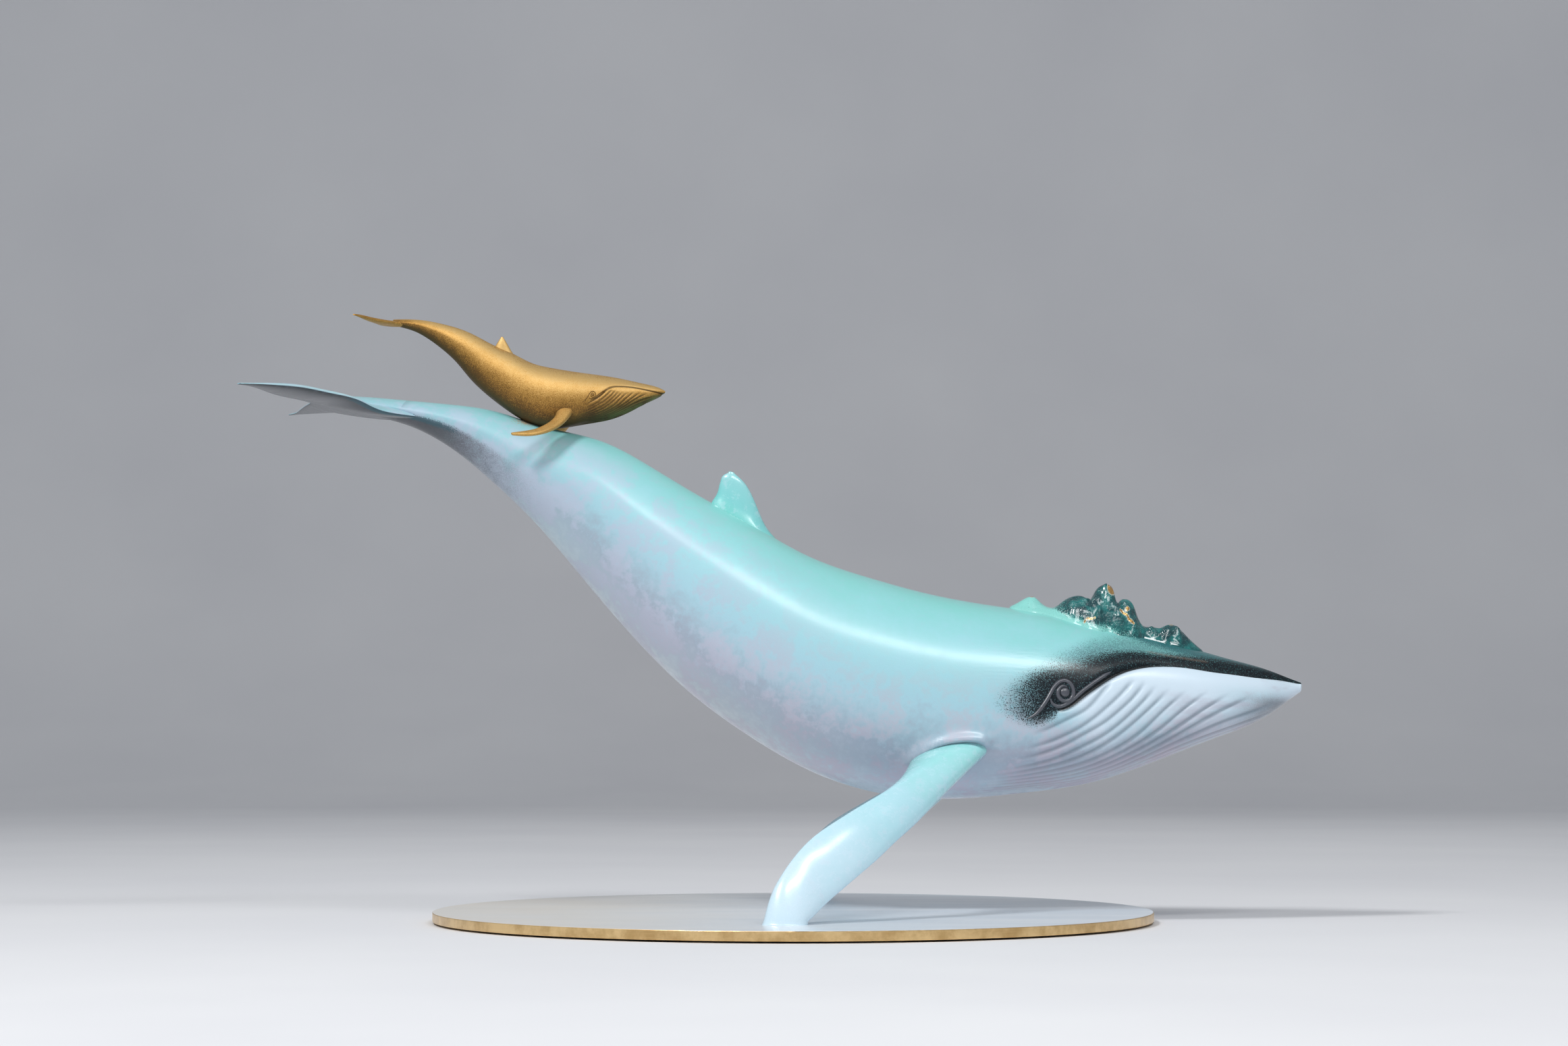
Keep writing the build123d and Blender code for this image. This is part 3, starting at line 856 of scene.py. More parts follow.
CALF = SwimmingForm(
    -119.96,
    258.06,
    166.0,
    58.0,
    28.0,
    1,
    (
        (0.313, 0.400, 0.311, 0.380, 0.06, -0.5),
        (0.298, 0.424, 0.290, 0.347, 0.20, -0.5),
        (0.242, 0.469, 0.236, 0.262, 0.46, -0.5),
        (0.167, 0.516, 0.150, 0.148, 0.73, -0.5),
        (0.092, 0.550, 0.062, 0.096, 0.92, -0.3),
        (0.018, 0.579, -0.026, 0.058, 1.00, 0.0),
        (-0.053, 0.613, -0.108, 0.084, 0.97, 0.0),
        (-0.117, 0.660, -0.190, 0.214, 0.87, 0.0),
        (-0.178, 0.747, -0.262, 0.372, 0.74, 0.2),
        (-0.241, 0.827, -0.314, 0.515, 0.61, 0.4),
        (-0.304, 0.922, -0.360, 0.671, 0.49, 0.6),
        (-0.357, 0.983, -0.403, 0.784, 0.38, 0.8),
        (-0.411, 1.024, -0.443, 0.870, 0.29, 1.0),
        (-0.465, 1.053, -0.483, 0.938, 0.24, 1.0),
        (-0.517, 1.062, -0.521, 0.977, 0.22, 1.0),
        (-0.560, 1.060, -0.562, 1.005, 0.24, 1.0),
    ),
)


@dataclass
class WhaleBody:
    """The whale's head, trunk and tail stock, with mouth, throat pleats and shoulders.

    Lines are drawn in side view, but the pleats give their distance around the section
    from the belly. The marks are what the patina reads.
    """

    rings: int = 72
    around: int = 84
    nose: float = 1.2
    head_share: float = 0.315
    head_rings_share: float = 0.64
    groove_depth: float = 1.5
    jaw_swell: float = 1.5
    lip_dip: float = 0.7
    pleat_depth: float = 1.05
    collar_height: float = 4.0
    jaw_corner: float = 137.0
    smear_at: Pair = (-141.0, 265.0)
    smear_size: Pair = (7.5, 2.8)
    # Where marks begin and where they are full, along the whale.
    soot_span: Pair = (92.0, 138.0)
    blur_span: Pair = (176.0, 150.0)
    spray_span: Pair = (112.0, 150.0)
    petrol_span: Pair = (154.0, 190.0)
    chin_shade_span: Pair = (214.0, 256.0)
    throat_span: Pair = (78.0, 110.0)
    under_span: Pair = (-105.0, -215.0)
    ridge_span: Pair = (-160.0, -195.0)
    polish_rear: Pair = (74.0, 124.0)
    polish_front: Pair = (156.0, 136.0)
    # The same by height, by distance from a line and by distance from the belly.
    polish_foot: Pair = (118.0, 132.0)
    spray_reach: Pair = (18.0, 2.0)
    petrol_reach: Pair = (-8.0, 3.0)
    jaw_reach: Pair = (42.0, 12.0)
    chin_shade_reach: Pair = (4.0, 13.0)
    throat_reach: Pair = (70.0, 40.0)
    mouth: Rows = (
        (268.6, 125.6), (259.0, 127.5), (245.4, 128.9), (232.5, 130.5), (219.2, 132.1),
        (206.2, 134.1), (197.2, 134.8), (188.0, 134.8), (180.1, 133.9), (172.3, 131.8),
        (167.3, 129.6), (162.4, 126.8), (157.6, 123.6), (152.2, 119.9), (147.7, 116.3),
        (142.9, 113.2), (137.5, 111.6),
    )
    pleats: tuple[Rows, ...] = (
        ((166, 81), (161.8, 77.5), (152.8, 69.5), (143, 66.0), (133, 63.0), (122, 60.5)),
        ((178, 77.5), (169.5, 71.0), (161.6, 66.3), (152.7, 61.5), (143, 58.0), (132, 55.2),
         (118, 53)),
        ((184, 74), (176.7, 66.8), (170, 63), (162.8, 59.5), (152, 56), (140, 52), (128, 49.3),
         (112, 47.5)),
        ((190, 68.5), (183.5, 63.2), (176.6, 59), (162.9, 52.6), (148.6, 48.5), (136.8, 45),
         (120.7, 42.4), (104, 42)),
        ((197.5, 62.8), (190.3, 58.8), (179.9, 53.7), (163.3, 47), (146.8, 42.5), (130.7, 39.6),
         (114.3, 38.2), (98, 38)),
        ((206.5, 56), (195.3, 52.3), (182.8, 46.2), (163.5, 40.6), (148, 37.6), (133, 35.6),
         (116, 34.6), (96, 35.2)),
        ((218.5, 48.2), (205.6, 46.4), (193.8, 42.6), (180.4, 39.2), (165, 36.2), (150, 33.2),
         (134, 31.6), (94, 32)),
        ((230.5, 38.8), (216.6, 39.3), (201.7, 37.5), (177, 34), (164, 31.6), (148, 29),
         (132, 27.8), (90, 29.5)),
        ((243, 27.5), (235.2, 30.4), (219.5, 32.8), (195, 31.5), (164, 27), (148, 25), (130, 24),
         (88, 26.3)),
        ((257, 12), (247, 17), (236, 21.5), (222, 25), (205, 26.5), (184, 25.5), (165, 22.6),
         (131, 20.5), (86, 23)),
        ((256, 8), (240, 13.5), (222, 18), (205, 20.5), (184, 20), (165, 18), (131, 16.8),
         (84, 19)),
        ((250, 5.5), (236, 9), (220, 12.5), (204, 14.6), (165, 13.6), (131, 13), (84, 15)),
        ((244, 3), (228, 5.6), (212, 8), (196, 9.2), (165, 9.2), (131, 9), (84, 11)),
        ((232, 1.5), (210, 3.5), (190, 4.6), (165, 4.8), (131, 4.8), (84, 6.5)),
    )
    collar: Rows = (
        (57.5, 78.5), (59.2, 82.5), (65.7, 89.2), (75.4, 94.6), (86.0, 96.9), (94.0, 97.0),
        (99.5, 95.2), (102.5, 91.0),
    )
    soot_top: Rows = (
        (274.0, 129.5), (254.0, 132.8), (240.0, 135.4), (219.0, 138.8), (202.0, 140.0),
        (188.5, 141.0), (176.7, 142.0), (165.2, 140.8), (155.0, 138.0), (146.6, 134.4),
        (135.1, 132.4), (125.3, 130.4), (115.5, 126.2), (100.0, 119.0), (88.0, 114.0),
    )
    soot_foot: Rows = (
        (88.0, 116.0), (104.0, 110.5), (117.0, 105.5), (124.0, 104.2), (131.0, 106.0),
        (138.0, 111.4),
    )
    crest_foot: Rows = (
        (134.0, 165.0), (142.0, 161.0), (150.0, 158.0), (160.0, 155.0), (172.0, 152.4),
        (184.0, 149.4), (196.0, 146.0), (210.0, 142.0), (225.0, 138.4), (245.0, 133.6),
        (268.0, 128.0),
    )
    bead: Rows = ((184.0, 142.8), (195.0, 140.6), (206.0, 138.8), (220.0, 136.8))
    marks: dict[str, Array] = field(default_factory=dict)

    def stations(self) -> Array:
        """Places of the rings: close on the head, wider towards the tail."""
        nose = np.linspace(-1, 0, 9)[:-1]
        count = self.rings * FINENESS + 1 - len(nose)
        head = int(count * self.head_rings_share)
        near = np.linspace(0, self.head_share, head, endpoint=False)
        rest = 1 - self.head_share
        t = np.linspace(0, 1, count - head)
        slope = self.head_share / head * (count - head) / rest
        return np.r_[nose, near, self.head_share + rest * (slope * t + (1 - slope) * t**2)]

    def build(self) -> Object:
        """Model the body."""
        tube = extruded_tube("whale_body", self.rings, self.around)
        shares = self.stations()
        points, girth = WHALE.grid(shares * SEAM, self.around * FINENESS, self.nose)
        ring, place = fit_tube(tube, points)
        arc, half = girth[ring, place], girth.max(axis=1)[ring]
        self.sculpt(tube, arc, arc / half)
        mark(tube, rise=arc / half, along=np.clip(shares[ring], 0, 1), **self.marks)
        smooth(tube, SHARP)
        return tube

    def sculpt(self, piece: Object, arc: Array, rise: Array) -> None:
        """Carve the mouth and the pleats and raise jaws and shoulders.

        Args:
            piece: The smooth body.
            arc: Distance of each corner from the belly around its section.
            rise: The same as a share, from 0 on the belly to 1 on the back.
        """
        points, facing = coordinates(piece) / MM, coordinates(piece, "normal")
        distance, side, along = near_line(points[:, [0, 2]], smooth_line(self.mouth, 90))
        below = side > 0
        flank = ease(np.abs(points[:, 1]), 0.3, 4.0)
        deep = 0.35 + 0.65 * ease(along, 0.45, 0.72)
        cut = deep * bell(distance, 1.0 + 0.35 * deep) * ease(along, 1.04, 0.97)
        swell = ease(distance, 0.0, 1.6) * ease(distance, 26.0, 3.0)
        taper = ease(along, 0.02, 0.16) * ease(along, 0.98, 0.72)
        dip = bell(distance - 1.2, 2.4) * ease(along, 1.02, 0.90)
        lift = np.where(below, self.jaw_swell * swell * taper, -self.lip_dip * dip) * flank
        lift -= self.groove_depth * cut * flank
        # crease marks the pleat grooves, which the patina paints darker as shade.
        crease = np.zeros(len(points))
        for corners in self.pleats:
            off, _, share = near_line(np.c_[points[:, 0], arc], smooth_line(corners, 50))
            ends = ease(share, 0.0, 0.10) * ease(share, 1.0, 0.72)
            groove = bell(off, 1.45 - 0.35 * share) * ends
            lift -= self.pleat_depth * groove
            crease = np.maximum(crease, groove)
        lift += self.collars(points)
        set_coordinates(piece, (points + facing * lift[:, None]) * MM)
        # groove marks the mouth groove, which the patina paints near-black as shade.
        line = bell(distance, 1.15) * ease(along, 0.50, 0.64) * ease(along, 1.03, 0.98)
        self.marks.update(crease=crease, groove=np.clip(line * flank * 1.1, 0, 1))
        self.shade(points, arc, rise, (distance, below, along, flank))

    def collars(self, points: Array) -> Array:
        """How far the body swells over the root of each flipper."""
        swell = np.zeros(len(points))
        for side, lead in LEADS.items():
            line = smooth_line(self.collar, 40) + np.array([lead, 0.0])
            off, turn, share = near_line(points[:, [0, 2]], line)
            over = bell(off, np.where(turn > 0, 3.0, 1.8))
            ends = ease(share, 0.0, 0.22) * ease(share, 1.0, 0.86)
            beside = np.sign(points[:, 1]) == side.value
            swell += self.collar_height * over * ends * beside
        return swell

    def shade(self, points: Array, arc: Array, rise: Array, mouth: tuple[Array, ...]) -> None:
        """Work out where the patina is sprayed dark, pale or petrol, and paint shade.

        Args:
            points: Corners of the body before it was carved.
            arc: Their distance from the belly around the section.
            rise: The same as a share, from 0 on the belly to 1 on the back.
            mouth: Their distance from the mouth's line, whether they are below it, how
                far along it they are, and 0 in the middle plane to 1 on the flank.
        """
        distance, below, along, flank = mouth
        x, z, view = points[:, 0], points[:, 2], points[:, [0, 2]]
        off, turn, _ = near_line(view, smooth_line(self.soot_top, 60))
        blur = 3.4 + 4.6 * ease(x, *self.blur_span)
        foot_off, foot_turn, _ = near_line(view, smooth_line(self.soot_foot, 30))
        lower = np.where(
            x > self.jaw_corner,
            ease(np.where(below, distance, -distance), 0.5, -0.3),
            ease(-foot_off * foot_turn, 5.0, -4.5),
        )
        soot = ease(-off * turn, blur, -0.7 * blur) * ease(x, *self.soot_span) * lower
        soot *= flank > 0.02
        spray = ease(off, *self.spray_reach) * ease(x, *self.spray_span) * ~below
        crest_off, crest_turn, _ = near_line(view, smooth_line(self.crest_foot, 50))
        bead_off, _, share = near_line(view, smooth_line(self.bead, 30))
        crest = ease(crest_off * crest_turn, *self.petrol_reach)
        smear = (view - self.smear_at) / self.smear_size
        # Painted shade on the lower front of the chin: it takes away the jaw's white there and
        # adds to under.
        chin = 0.75 * ease(x, *self.chin_shade_span) * ease(distance, *self.chin_shade_reach) * below
        jaw = 0.92 * ease(distance, *self.jaw_reach) * ease(along, 1.0, 0.90) * below
        polish = ease(x, *self.polish_rear) * ease(x, *self.polish_front)
        self.marks.update(
            soot=soot,
            spray=np.maximum(spray, soot),
            petrol=crest * ease(x, *self.petrol_span) * ~below,
            bead=bell(bead_off, 0.5) * ease(share, 0.0, 0.1) * ease(share, 1.0, 0.9),
            smear=bell(np.hypot(*smear.T), 1.0),
            polish=polish * ease(z, *self.polish_foot),
            jaw=jaw * (1 - chin),
            throat=ease(x, *self.throat_span) * ease(arc, *self.throat_reach),
            # under: the tail's dark underside, partly painted shade, with the chin's painted shade
            # added.
            under=ease(rise, *UNDERSIDE) * ease(x, *self.under_span) + chin,
            ridge=dark_ridge(rise) * ease(x, *self.ridge_span),
        )


@dataclass
class EyeCurl:
    """Raised lid that curls round the eye, on both sides of a head.

    Its lines are drawn round the whale's own eye, and share and at scale and move them.
    """

    name: str = "eye_curls"
    share: float = 1.0
    at: Pair = (141.0, 120.8)
    width: float = 1.1
    sides: int = 12
    eye: Pair = (141.0, 120.8)
    eye_radius: float = 2.5
    eye_dome: float = 1.1
    eye_sink: float = 0.15
    curl_sink: float = 0.12
    lip_sink: float = 0.18
    curl: Rows = (
        (121.0, 107.0), (125.6, 109.6), (129.0, 113.4), (132.2, 118.2), (134.9, 122.9),
        (137.9, 126.1), (141.0, 126.9), (143.6, 125.6), (145.2, 122.8), (145.3, 119.6),
        (143.6, 117.0), (140.8, 116.2), (138.2, 117.6), (137.2, 120.4), (138.2, 123.1),
        (140.6, 124.2), (142.4, 123.2),
    )
    lip: Rows = (
        (133.0, 118.0), (134.6, 114.8), (137.6, 113.5), (141.4, 114.6), (145.4, 117.2),
        (149.8, 121.0), (154.6, 124.6), (160.0, 128.2), (166.0, 131.6),
    )

    def moved(self, corners: Rows) -> Array:
        """The corners of a line, scaled about the eye and moved to this head."""
        return self.at + (np.array(corners) - self.eye) * self.share

    def strand(self, name: str, corners: Rows, side: Side, skin: "Skin", sink: float) -> Object:
        """One tapered raised line that follows the skin.

        Args:
            name: Name of the line.
            corners: Its corners in side view, on the whale's own head.
            side: Side of the head.
            skin: The head's skin.
            sink: How deep its middle lies in the skin, at the whale's own size.

        Returns:
            The line as a closed tube.
        """
        line = smooth_line(self.moved(corners), 90)
        spots, facing = map(np.array, zip(*(skin.across(x, z, side) for x, z in line)))
        share = np.linspace(0, 1, len(line))
        girth = self.width * np.sqrt(np.clip(np.minimum(share * 6, (1 - share) * 9), 0.02, 1))
        runs = np.gradient(spots, axis=0)
        across = np.cross(runs / np.linalg.norm(runs, axis=1)[:, None], facing)
        turns = (np.arange(self.sides) * 2 * math.pi / self.sides)[:, None]
        rings = across[:, None] * np.cos(turns) + facing[:, None] * np.sin(turns)
        grid = (spots - facing * sink * self.share)[:, None] + rings * girth[:, None, None]
        tube = extruded_tube(name, len(line) - 1, self.sides, 0)
        fit_tube(tube, grid, 1)
        return tube

    def eyeball(self, side: Side, skin: "Skin") -> Object:
        """Low domed disc of the eye."""
        spot, normal = skin.across(*self.at, side)
        bpy.ops.object.select_all(action="DESELECT")
        bpy.ops.mesh.primitive_uv_sphere_add(segments=36, ring_count=18, radius=1)
        ball = lone("eyeball")
        first = np.cross(normal, (0.0, 0.0, 1.0))
        first /= np.linalg.norm(first)
        radius = self.eye_radius
        axes = np.array((first * radius, np.cross(normal, first) * radius, normal * self.eye_dome))
        flat = spot + (coordinates(ball) @ axes - normal * self.eye_sink) * self.share
        set_coordinates(ball, flat * MM)
        return ball

    def build(self, skin: "Skin") -> Object:
        """Model the curls of both eyes as one piece."""
        pieces = []
        for side in Side:
            pieces.append(self.strand("curl", self.curl, side, skin, self.curl_sink))
            pieces.append(self.strand("lip", self.lip, side, skin, self.lip_sink))
            pieces.append(self.eyeball(side, skin))
        face_outwards(join_pieces(pieces))
        whole = lone(self.name)
        smooth(whole)
        return whole


class Skin:
    """Finds places on a finished body from where they lie in side view."""

    beside = 0.2  # metres from the middle plane, outside every body
    overhead = 0.5  # metres above the floor, above every body

    def __init__(self, piece: Object) -> None:
        """Keep the body to cast lines at."""
        self.piece = piece
        bpy.context.view_layer.update()

    def across(self, x: float, z: float, side: Side) -> tuple[Array, Array]:
        """Point and normal where a line across the body meets its skin."""
        start = (x * MM, side.value * self.beside, z * MM)
        hit, spot, normal, _ = self.piece.ray_cast(start, (0, -side.value, 0))
        if not hit:
            return np.array((x, 0.0, z)), np.array((0.0, float(side.value), 0.0))
        return np.array(spot) / MM, np.array(normal)

    def above(self, x: float, y: float) -> float:
        """Height of the top of the body at a place seen from above."""
        hit, spot, _, _ = self.piece.ray_cast((x * MM, y * MM, self.overhead), (0, 0, -1))
        return spot[2] / MM if hit else 0.0


# Fins


@dataclass
class Blade:
    """A fin as oval sections between its rear and its front edge."""

    name: str
    rear: Rows
    front: Rows
    thickness: tuple[float, ...]
    rings: int
    around: int
    tip_rings: int = 5

    def grid(self) -> tuple[Array, Array]:
        """Points of the fin by ring, and how far along it each ring is."""
        rear, front = np.array(self.rear, float), np.array(self.front, float)
        run = running_length((rear + front) / 2)
        table = np.c_[rear, front, np.array(self.thickness)]
        count, places = self.rings * FINENESS + 1, self.around * FINENESS
        tip = self.tip_rings
        shares = np.linspace(0, 1, count - tip)
        values = spline(run, table, shares * run[-1])
        middles = (values[:, :3] + values[:, 3:6]) / 2
        runs = np.gradient(middles, axis=0)
        turns = np.arange(places) * 2 * math.pi / places
        grid = np.zeros((count, places, 3))
        for row, value in enumerate(values):
            chord = value[3:6] - value[:3]
            size = np.linalg.norm(chord)
            along = chord / size
            square = runs[row] - along * (runs[row] @ along)
            square /= np.linalg.norm(square)
            up = np.cross(square, along)
            thin = value[6] / 2
            grid[row] = (
                middles[row]
                + np.outer(np.cos(turns), along) * size / 2
                + up * (np.sin(turns) * thin)[:, None]
            )
        last, centre = grid[count - tip - 1], middles[-1]
        step = runs[-1] / np.linalg.norm(runs[-1]) * self.thickness[-1] * 0.5
        for extra in range(tip):
            angle = (extra + 1) / tip * math.pi / 2
            shrink = max(math.cos(angle), 0.03)
            grid[count - tip + extra] = centre + (last - centre) * shrink + step * math.sin(angle)
        return grid, np.r_[shares, np.ones(tip)]

    def build(self) -> Object:
        """Model the fin, with marks that its finish reads."""
        tube = extruded_tube(self.name, self.rings, self.around)
        grid, shares = self.grid()
        ring, place = fit_tube(tube, grid)
        front = np.cos(place / grid.shape[1] * 2 * math.pi)
        down = -coordinates(tube, "normal")[:, 2]
        # under marks faces that look down, which a fin's finish paints darker as shade.
        mark(tube, along=shares[ring], under=ease(down, 0.0, 0.6), edge=ease(front, 0.80, 0.96))
        smooth(tube, SHARP)
        return tube


@dataclass
class Flukes:
    """Both flukes of a whale, from tip to tip.

    A row of the one half says how far out it is, where its front and its rear edge are
    and how thick it is, all as shares.
    """

    name: str
    form: SwimmingForm
    half_span: float
    thickness: float
    rings: int
    around: int
    rows: Rows

    def build(self) -> Object:
        """Model the flukes."""
        halves = [(-row[0], *row[1:]) for row in self.rows[:0:-1]] + list(self.rows)
        place, span = self.form.place, self.half_span
        rear = tuple(place(row[3], row[4], span * row[0]) for row in halves)
        front = tuple(place(row[1], row[2], span * row[0]) for row in halves)
        thick = tuple(self.thickness * row[5] for row in halves)
        return Blade(self.name, rear, front, thick, self.rings, self.around).build()


@dataclass
class BackFin:
    """Fin on a whale's back. A row gives its rear edge, front edge and thickness."""

    name: str
    form: SwimmingForm
    thickness: float
    rings: int
    around: int
    rows: Rows

    def build(self) -> Object:
        """Model the fin."""
        rear = tuple(self.form.place(row[0], row[1]) for row in self.rows)
        front = tuple(self.form.place(row[2], row[3]) for row in self.rows)
        thick = tuple(self.thickness * row[4] for row in self.rows)
        return Blade(self.name, rear, front, thick, self.rings, self.around).build()


WHALE_FLUKES = Flukes(
    "whale_flukes",
    WHALE,
    98.0,
    6.0,
    36,
    24,
    (
        (0.00, 0.846, 0.938, 0.955, 0.984, 1.00),
        (0.11, 0.853, 0.940, 0.957, 0.984, 0.98),
        (0.20, 0.880, 0.949, 0.961, 0.983, 0.94),
        (0.31, 0.901, 0.971, 0.967, 0.982, 0.91),
        (0.46, 0.924, 0.983, 0.974, 0.981, 0.93),
        (0.61, 0.944, 0.990, 0.980, 0.981, 0.85),
        (0.78, 0.965, 0.990, 0.986, 0.983, 0.57),
        (0.93, 0.986, 0.987, 0.994, 0.984, 0.24),
        (0.99, 0.996, 0.985, 1.000, 0.984, 0.14),
    ),
)
WHALE_BACK_FIN = BackFin(
    "whale_dorsal_fin",
    WHALE,
    16.0,
    16,
    20,
    (
        (0.572, 0.700, 0.490, 0.570, 1.00),
        (0.568, 0.731, 0.500, 0.622, 0.80),
        (0.563, 0.752, 0.514, 0.664, 0.60),
        (0.561, 0.770, 0.522, 0.704, 0.46),
        (0.559, 0.788, 0.530, 0.752, 0.34),
        (0.556, 0.799, 0.539, 0.786, 0.23),
        (0.552, 0.804, 0.546, 0.802, 0.11),
    ),
)


@dataclass
class TailFlukes:
    """Both flukes of the whale with the end of its tail stock."""

    rings: int = 10
    around: int = 28

    def blades(self) -> Object:
        """Model the flukes, with a painted highlight on their front edges and painted shade below.
        """
        flukes = WHALE_FLUKES.build()
        out = np.abs(coordinates(flukes)[:, 1]) / MM / WHALE_FLUKES.half_span
        top = coordinates(flukes, "normal")[:, 2]
        edge = read_mark(flukes, "edge")
        # Painted highlight along the front edges (keel_highlight) and painted shade on the faces
        # that look down (under); rise gives the upper and lower faces their patina.
        mark(
            flukes,
            rise=0.30 + 0.34 * ease(top, -0.2, 0.5),
            keel_highlight=ease(edge, 0.2, 0.9) * ease(top, -0.3, 0.1) * ease(out, 0.16, 0.40),
            ridge=ease(edge, 0.05, 0.5) * ease(top, 0.15, -0.35) * ease(out, 0.55, 0.2),
            under=ease(top, 0.1, -0.25),
            along=1.0,
        )
        return flukes

    def stock(self) -> Object:
        """Model the end of the stock, which flattens between the flukes."""
        stock = extruded_tube("stock_end", self.rings, self.around)
        shares = np.r_[SEAM, np.linspace(SEAM, 1, self.rings * FINENESS)]
        points, girth = WHALE.grid(shares, self.around * FINENESS, 0.5)
        middle = points[0].mean(axis=0)
        points[0] = middle + (points[0] - middle) * 0.5
        ring, place = fit_tube(stock, points)
        rise = girth[ring, place] / girth.max(axis=1)[ring]
        # under darkens the lower half of the stock, partly as painted shade.
        mark(stock, rise=rise, along=1.0, under=ease(rise, *UNDERSIDE), ridge=dark_ridge(rise))
        smooth(stock, SHARP)
        return stock

    def build(self) -> Object:
        """Model the flukes and join the stock's end to them."""
        return join_pieces([self.blades(), self.stock()])


@dataclass
class Flipper:
    """One flipper of the whale, which is a leg of the figure.

    A row gives its rear edge, its front edge, how far out it is and its thickness.
    """

    side: Side
    half_spread: float = 138.0
    thickness: float = 16.0
    shoulder: float = 80.4
    foot_height: float = 1.6
    foot_flare: float = 0.05
    rows: Rows = (
        (0.377, 0.983, 0.294, 1.144, 0.22, 1.10),
        (0.382, 0.928, 0.310, 1.058, 0.34, 1.00),
        (0.395, 0.852, 0.357, 0.736, 0.55, 0.78),
        (0.411, 0.782, 0.381, 0.578, 0.65, 0.66),
        (0.429, 0.713, 0.396, 0.493, 0.71, 0.60),
        (0.449, 0.632, 0.414, 0.383, 0.78, 0.56),
        (0.466, 0.558, 0.428, 0.306, 0.83, 0.54),
        (0.480, 0.478, 0.443, 0.223, 0.877, 0.53),
        (0.492, 0.384, 0.458, 0.138, 0.92, 0.52),
        (0.502, 0.286, 0.468, 0.075, 0.96, 0.54),
        (0.509, 0.197, 0.473, 0.042, 0.98, 0.60),
        (0.517, 0.012, 0.478, 0.000, 1.00, 0.68),
        (0.520, -0.090, 0.480, -0.100, 1.005, 0.70),
    )

    def place(self, along: float, up: float, out: float) -> Triple:
        """Place on the flipper from shares of length, shoulder and spread."""
        x, _ = WHALE.point(along, 0.0)
        y = self.side.value * self.half_spread * out
        return x + LEADS[self.side], y, PLATE_TOP + self.shoulder * up

    def build(self) -> Object:
        """Model the flipper and press its foot flat just inside the plate's top."""
        rear = tuple(self.place(row[0], row[1], row[4]) for row in self.rows)
        front = tuple(self.place(row[2], row[3], row[4]) for row in self.rows)
        thick = tuple(self.thickness * row[5] for row in self.rows)
        name = "whale_flipper_" + self.side.name.lower()
        blade = Blade(name, rear, front, thick, 30, 24).build()
        points = coordinates(blade)
        low, foot = (PLATE_TOP - 0.3) * MM, (PLATE_TOP + self.foot_height) * MM
        middle = points[points[:, 2] < foot].mean(axis=0)
        spread = ease(foot - points[:, 2], 0.0, 2.0 * MM)[:, None]
        points[:, :2] += (points[:, :2] - middle[:2]) * self.foot_flare * spread
        points[:, 2] = np.maximum(points[:, 2], low)
        set_coordinates(blade, points)
        return blade


# Crest


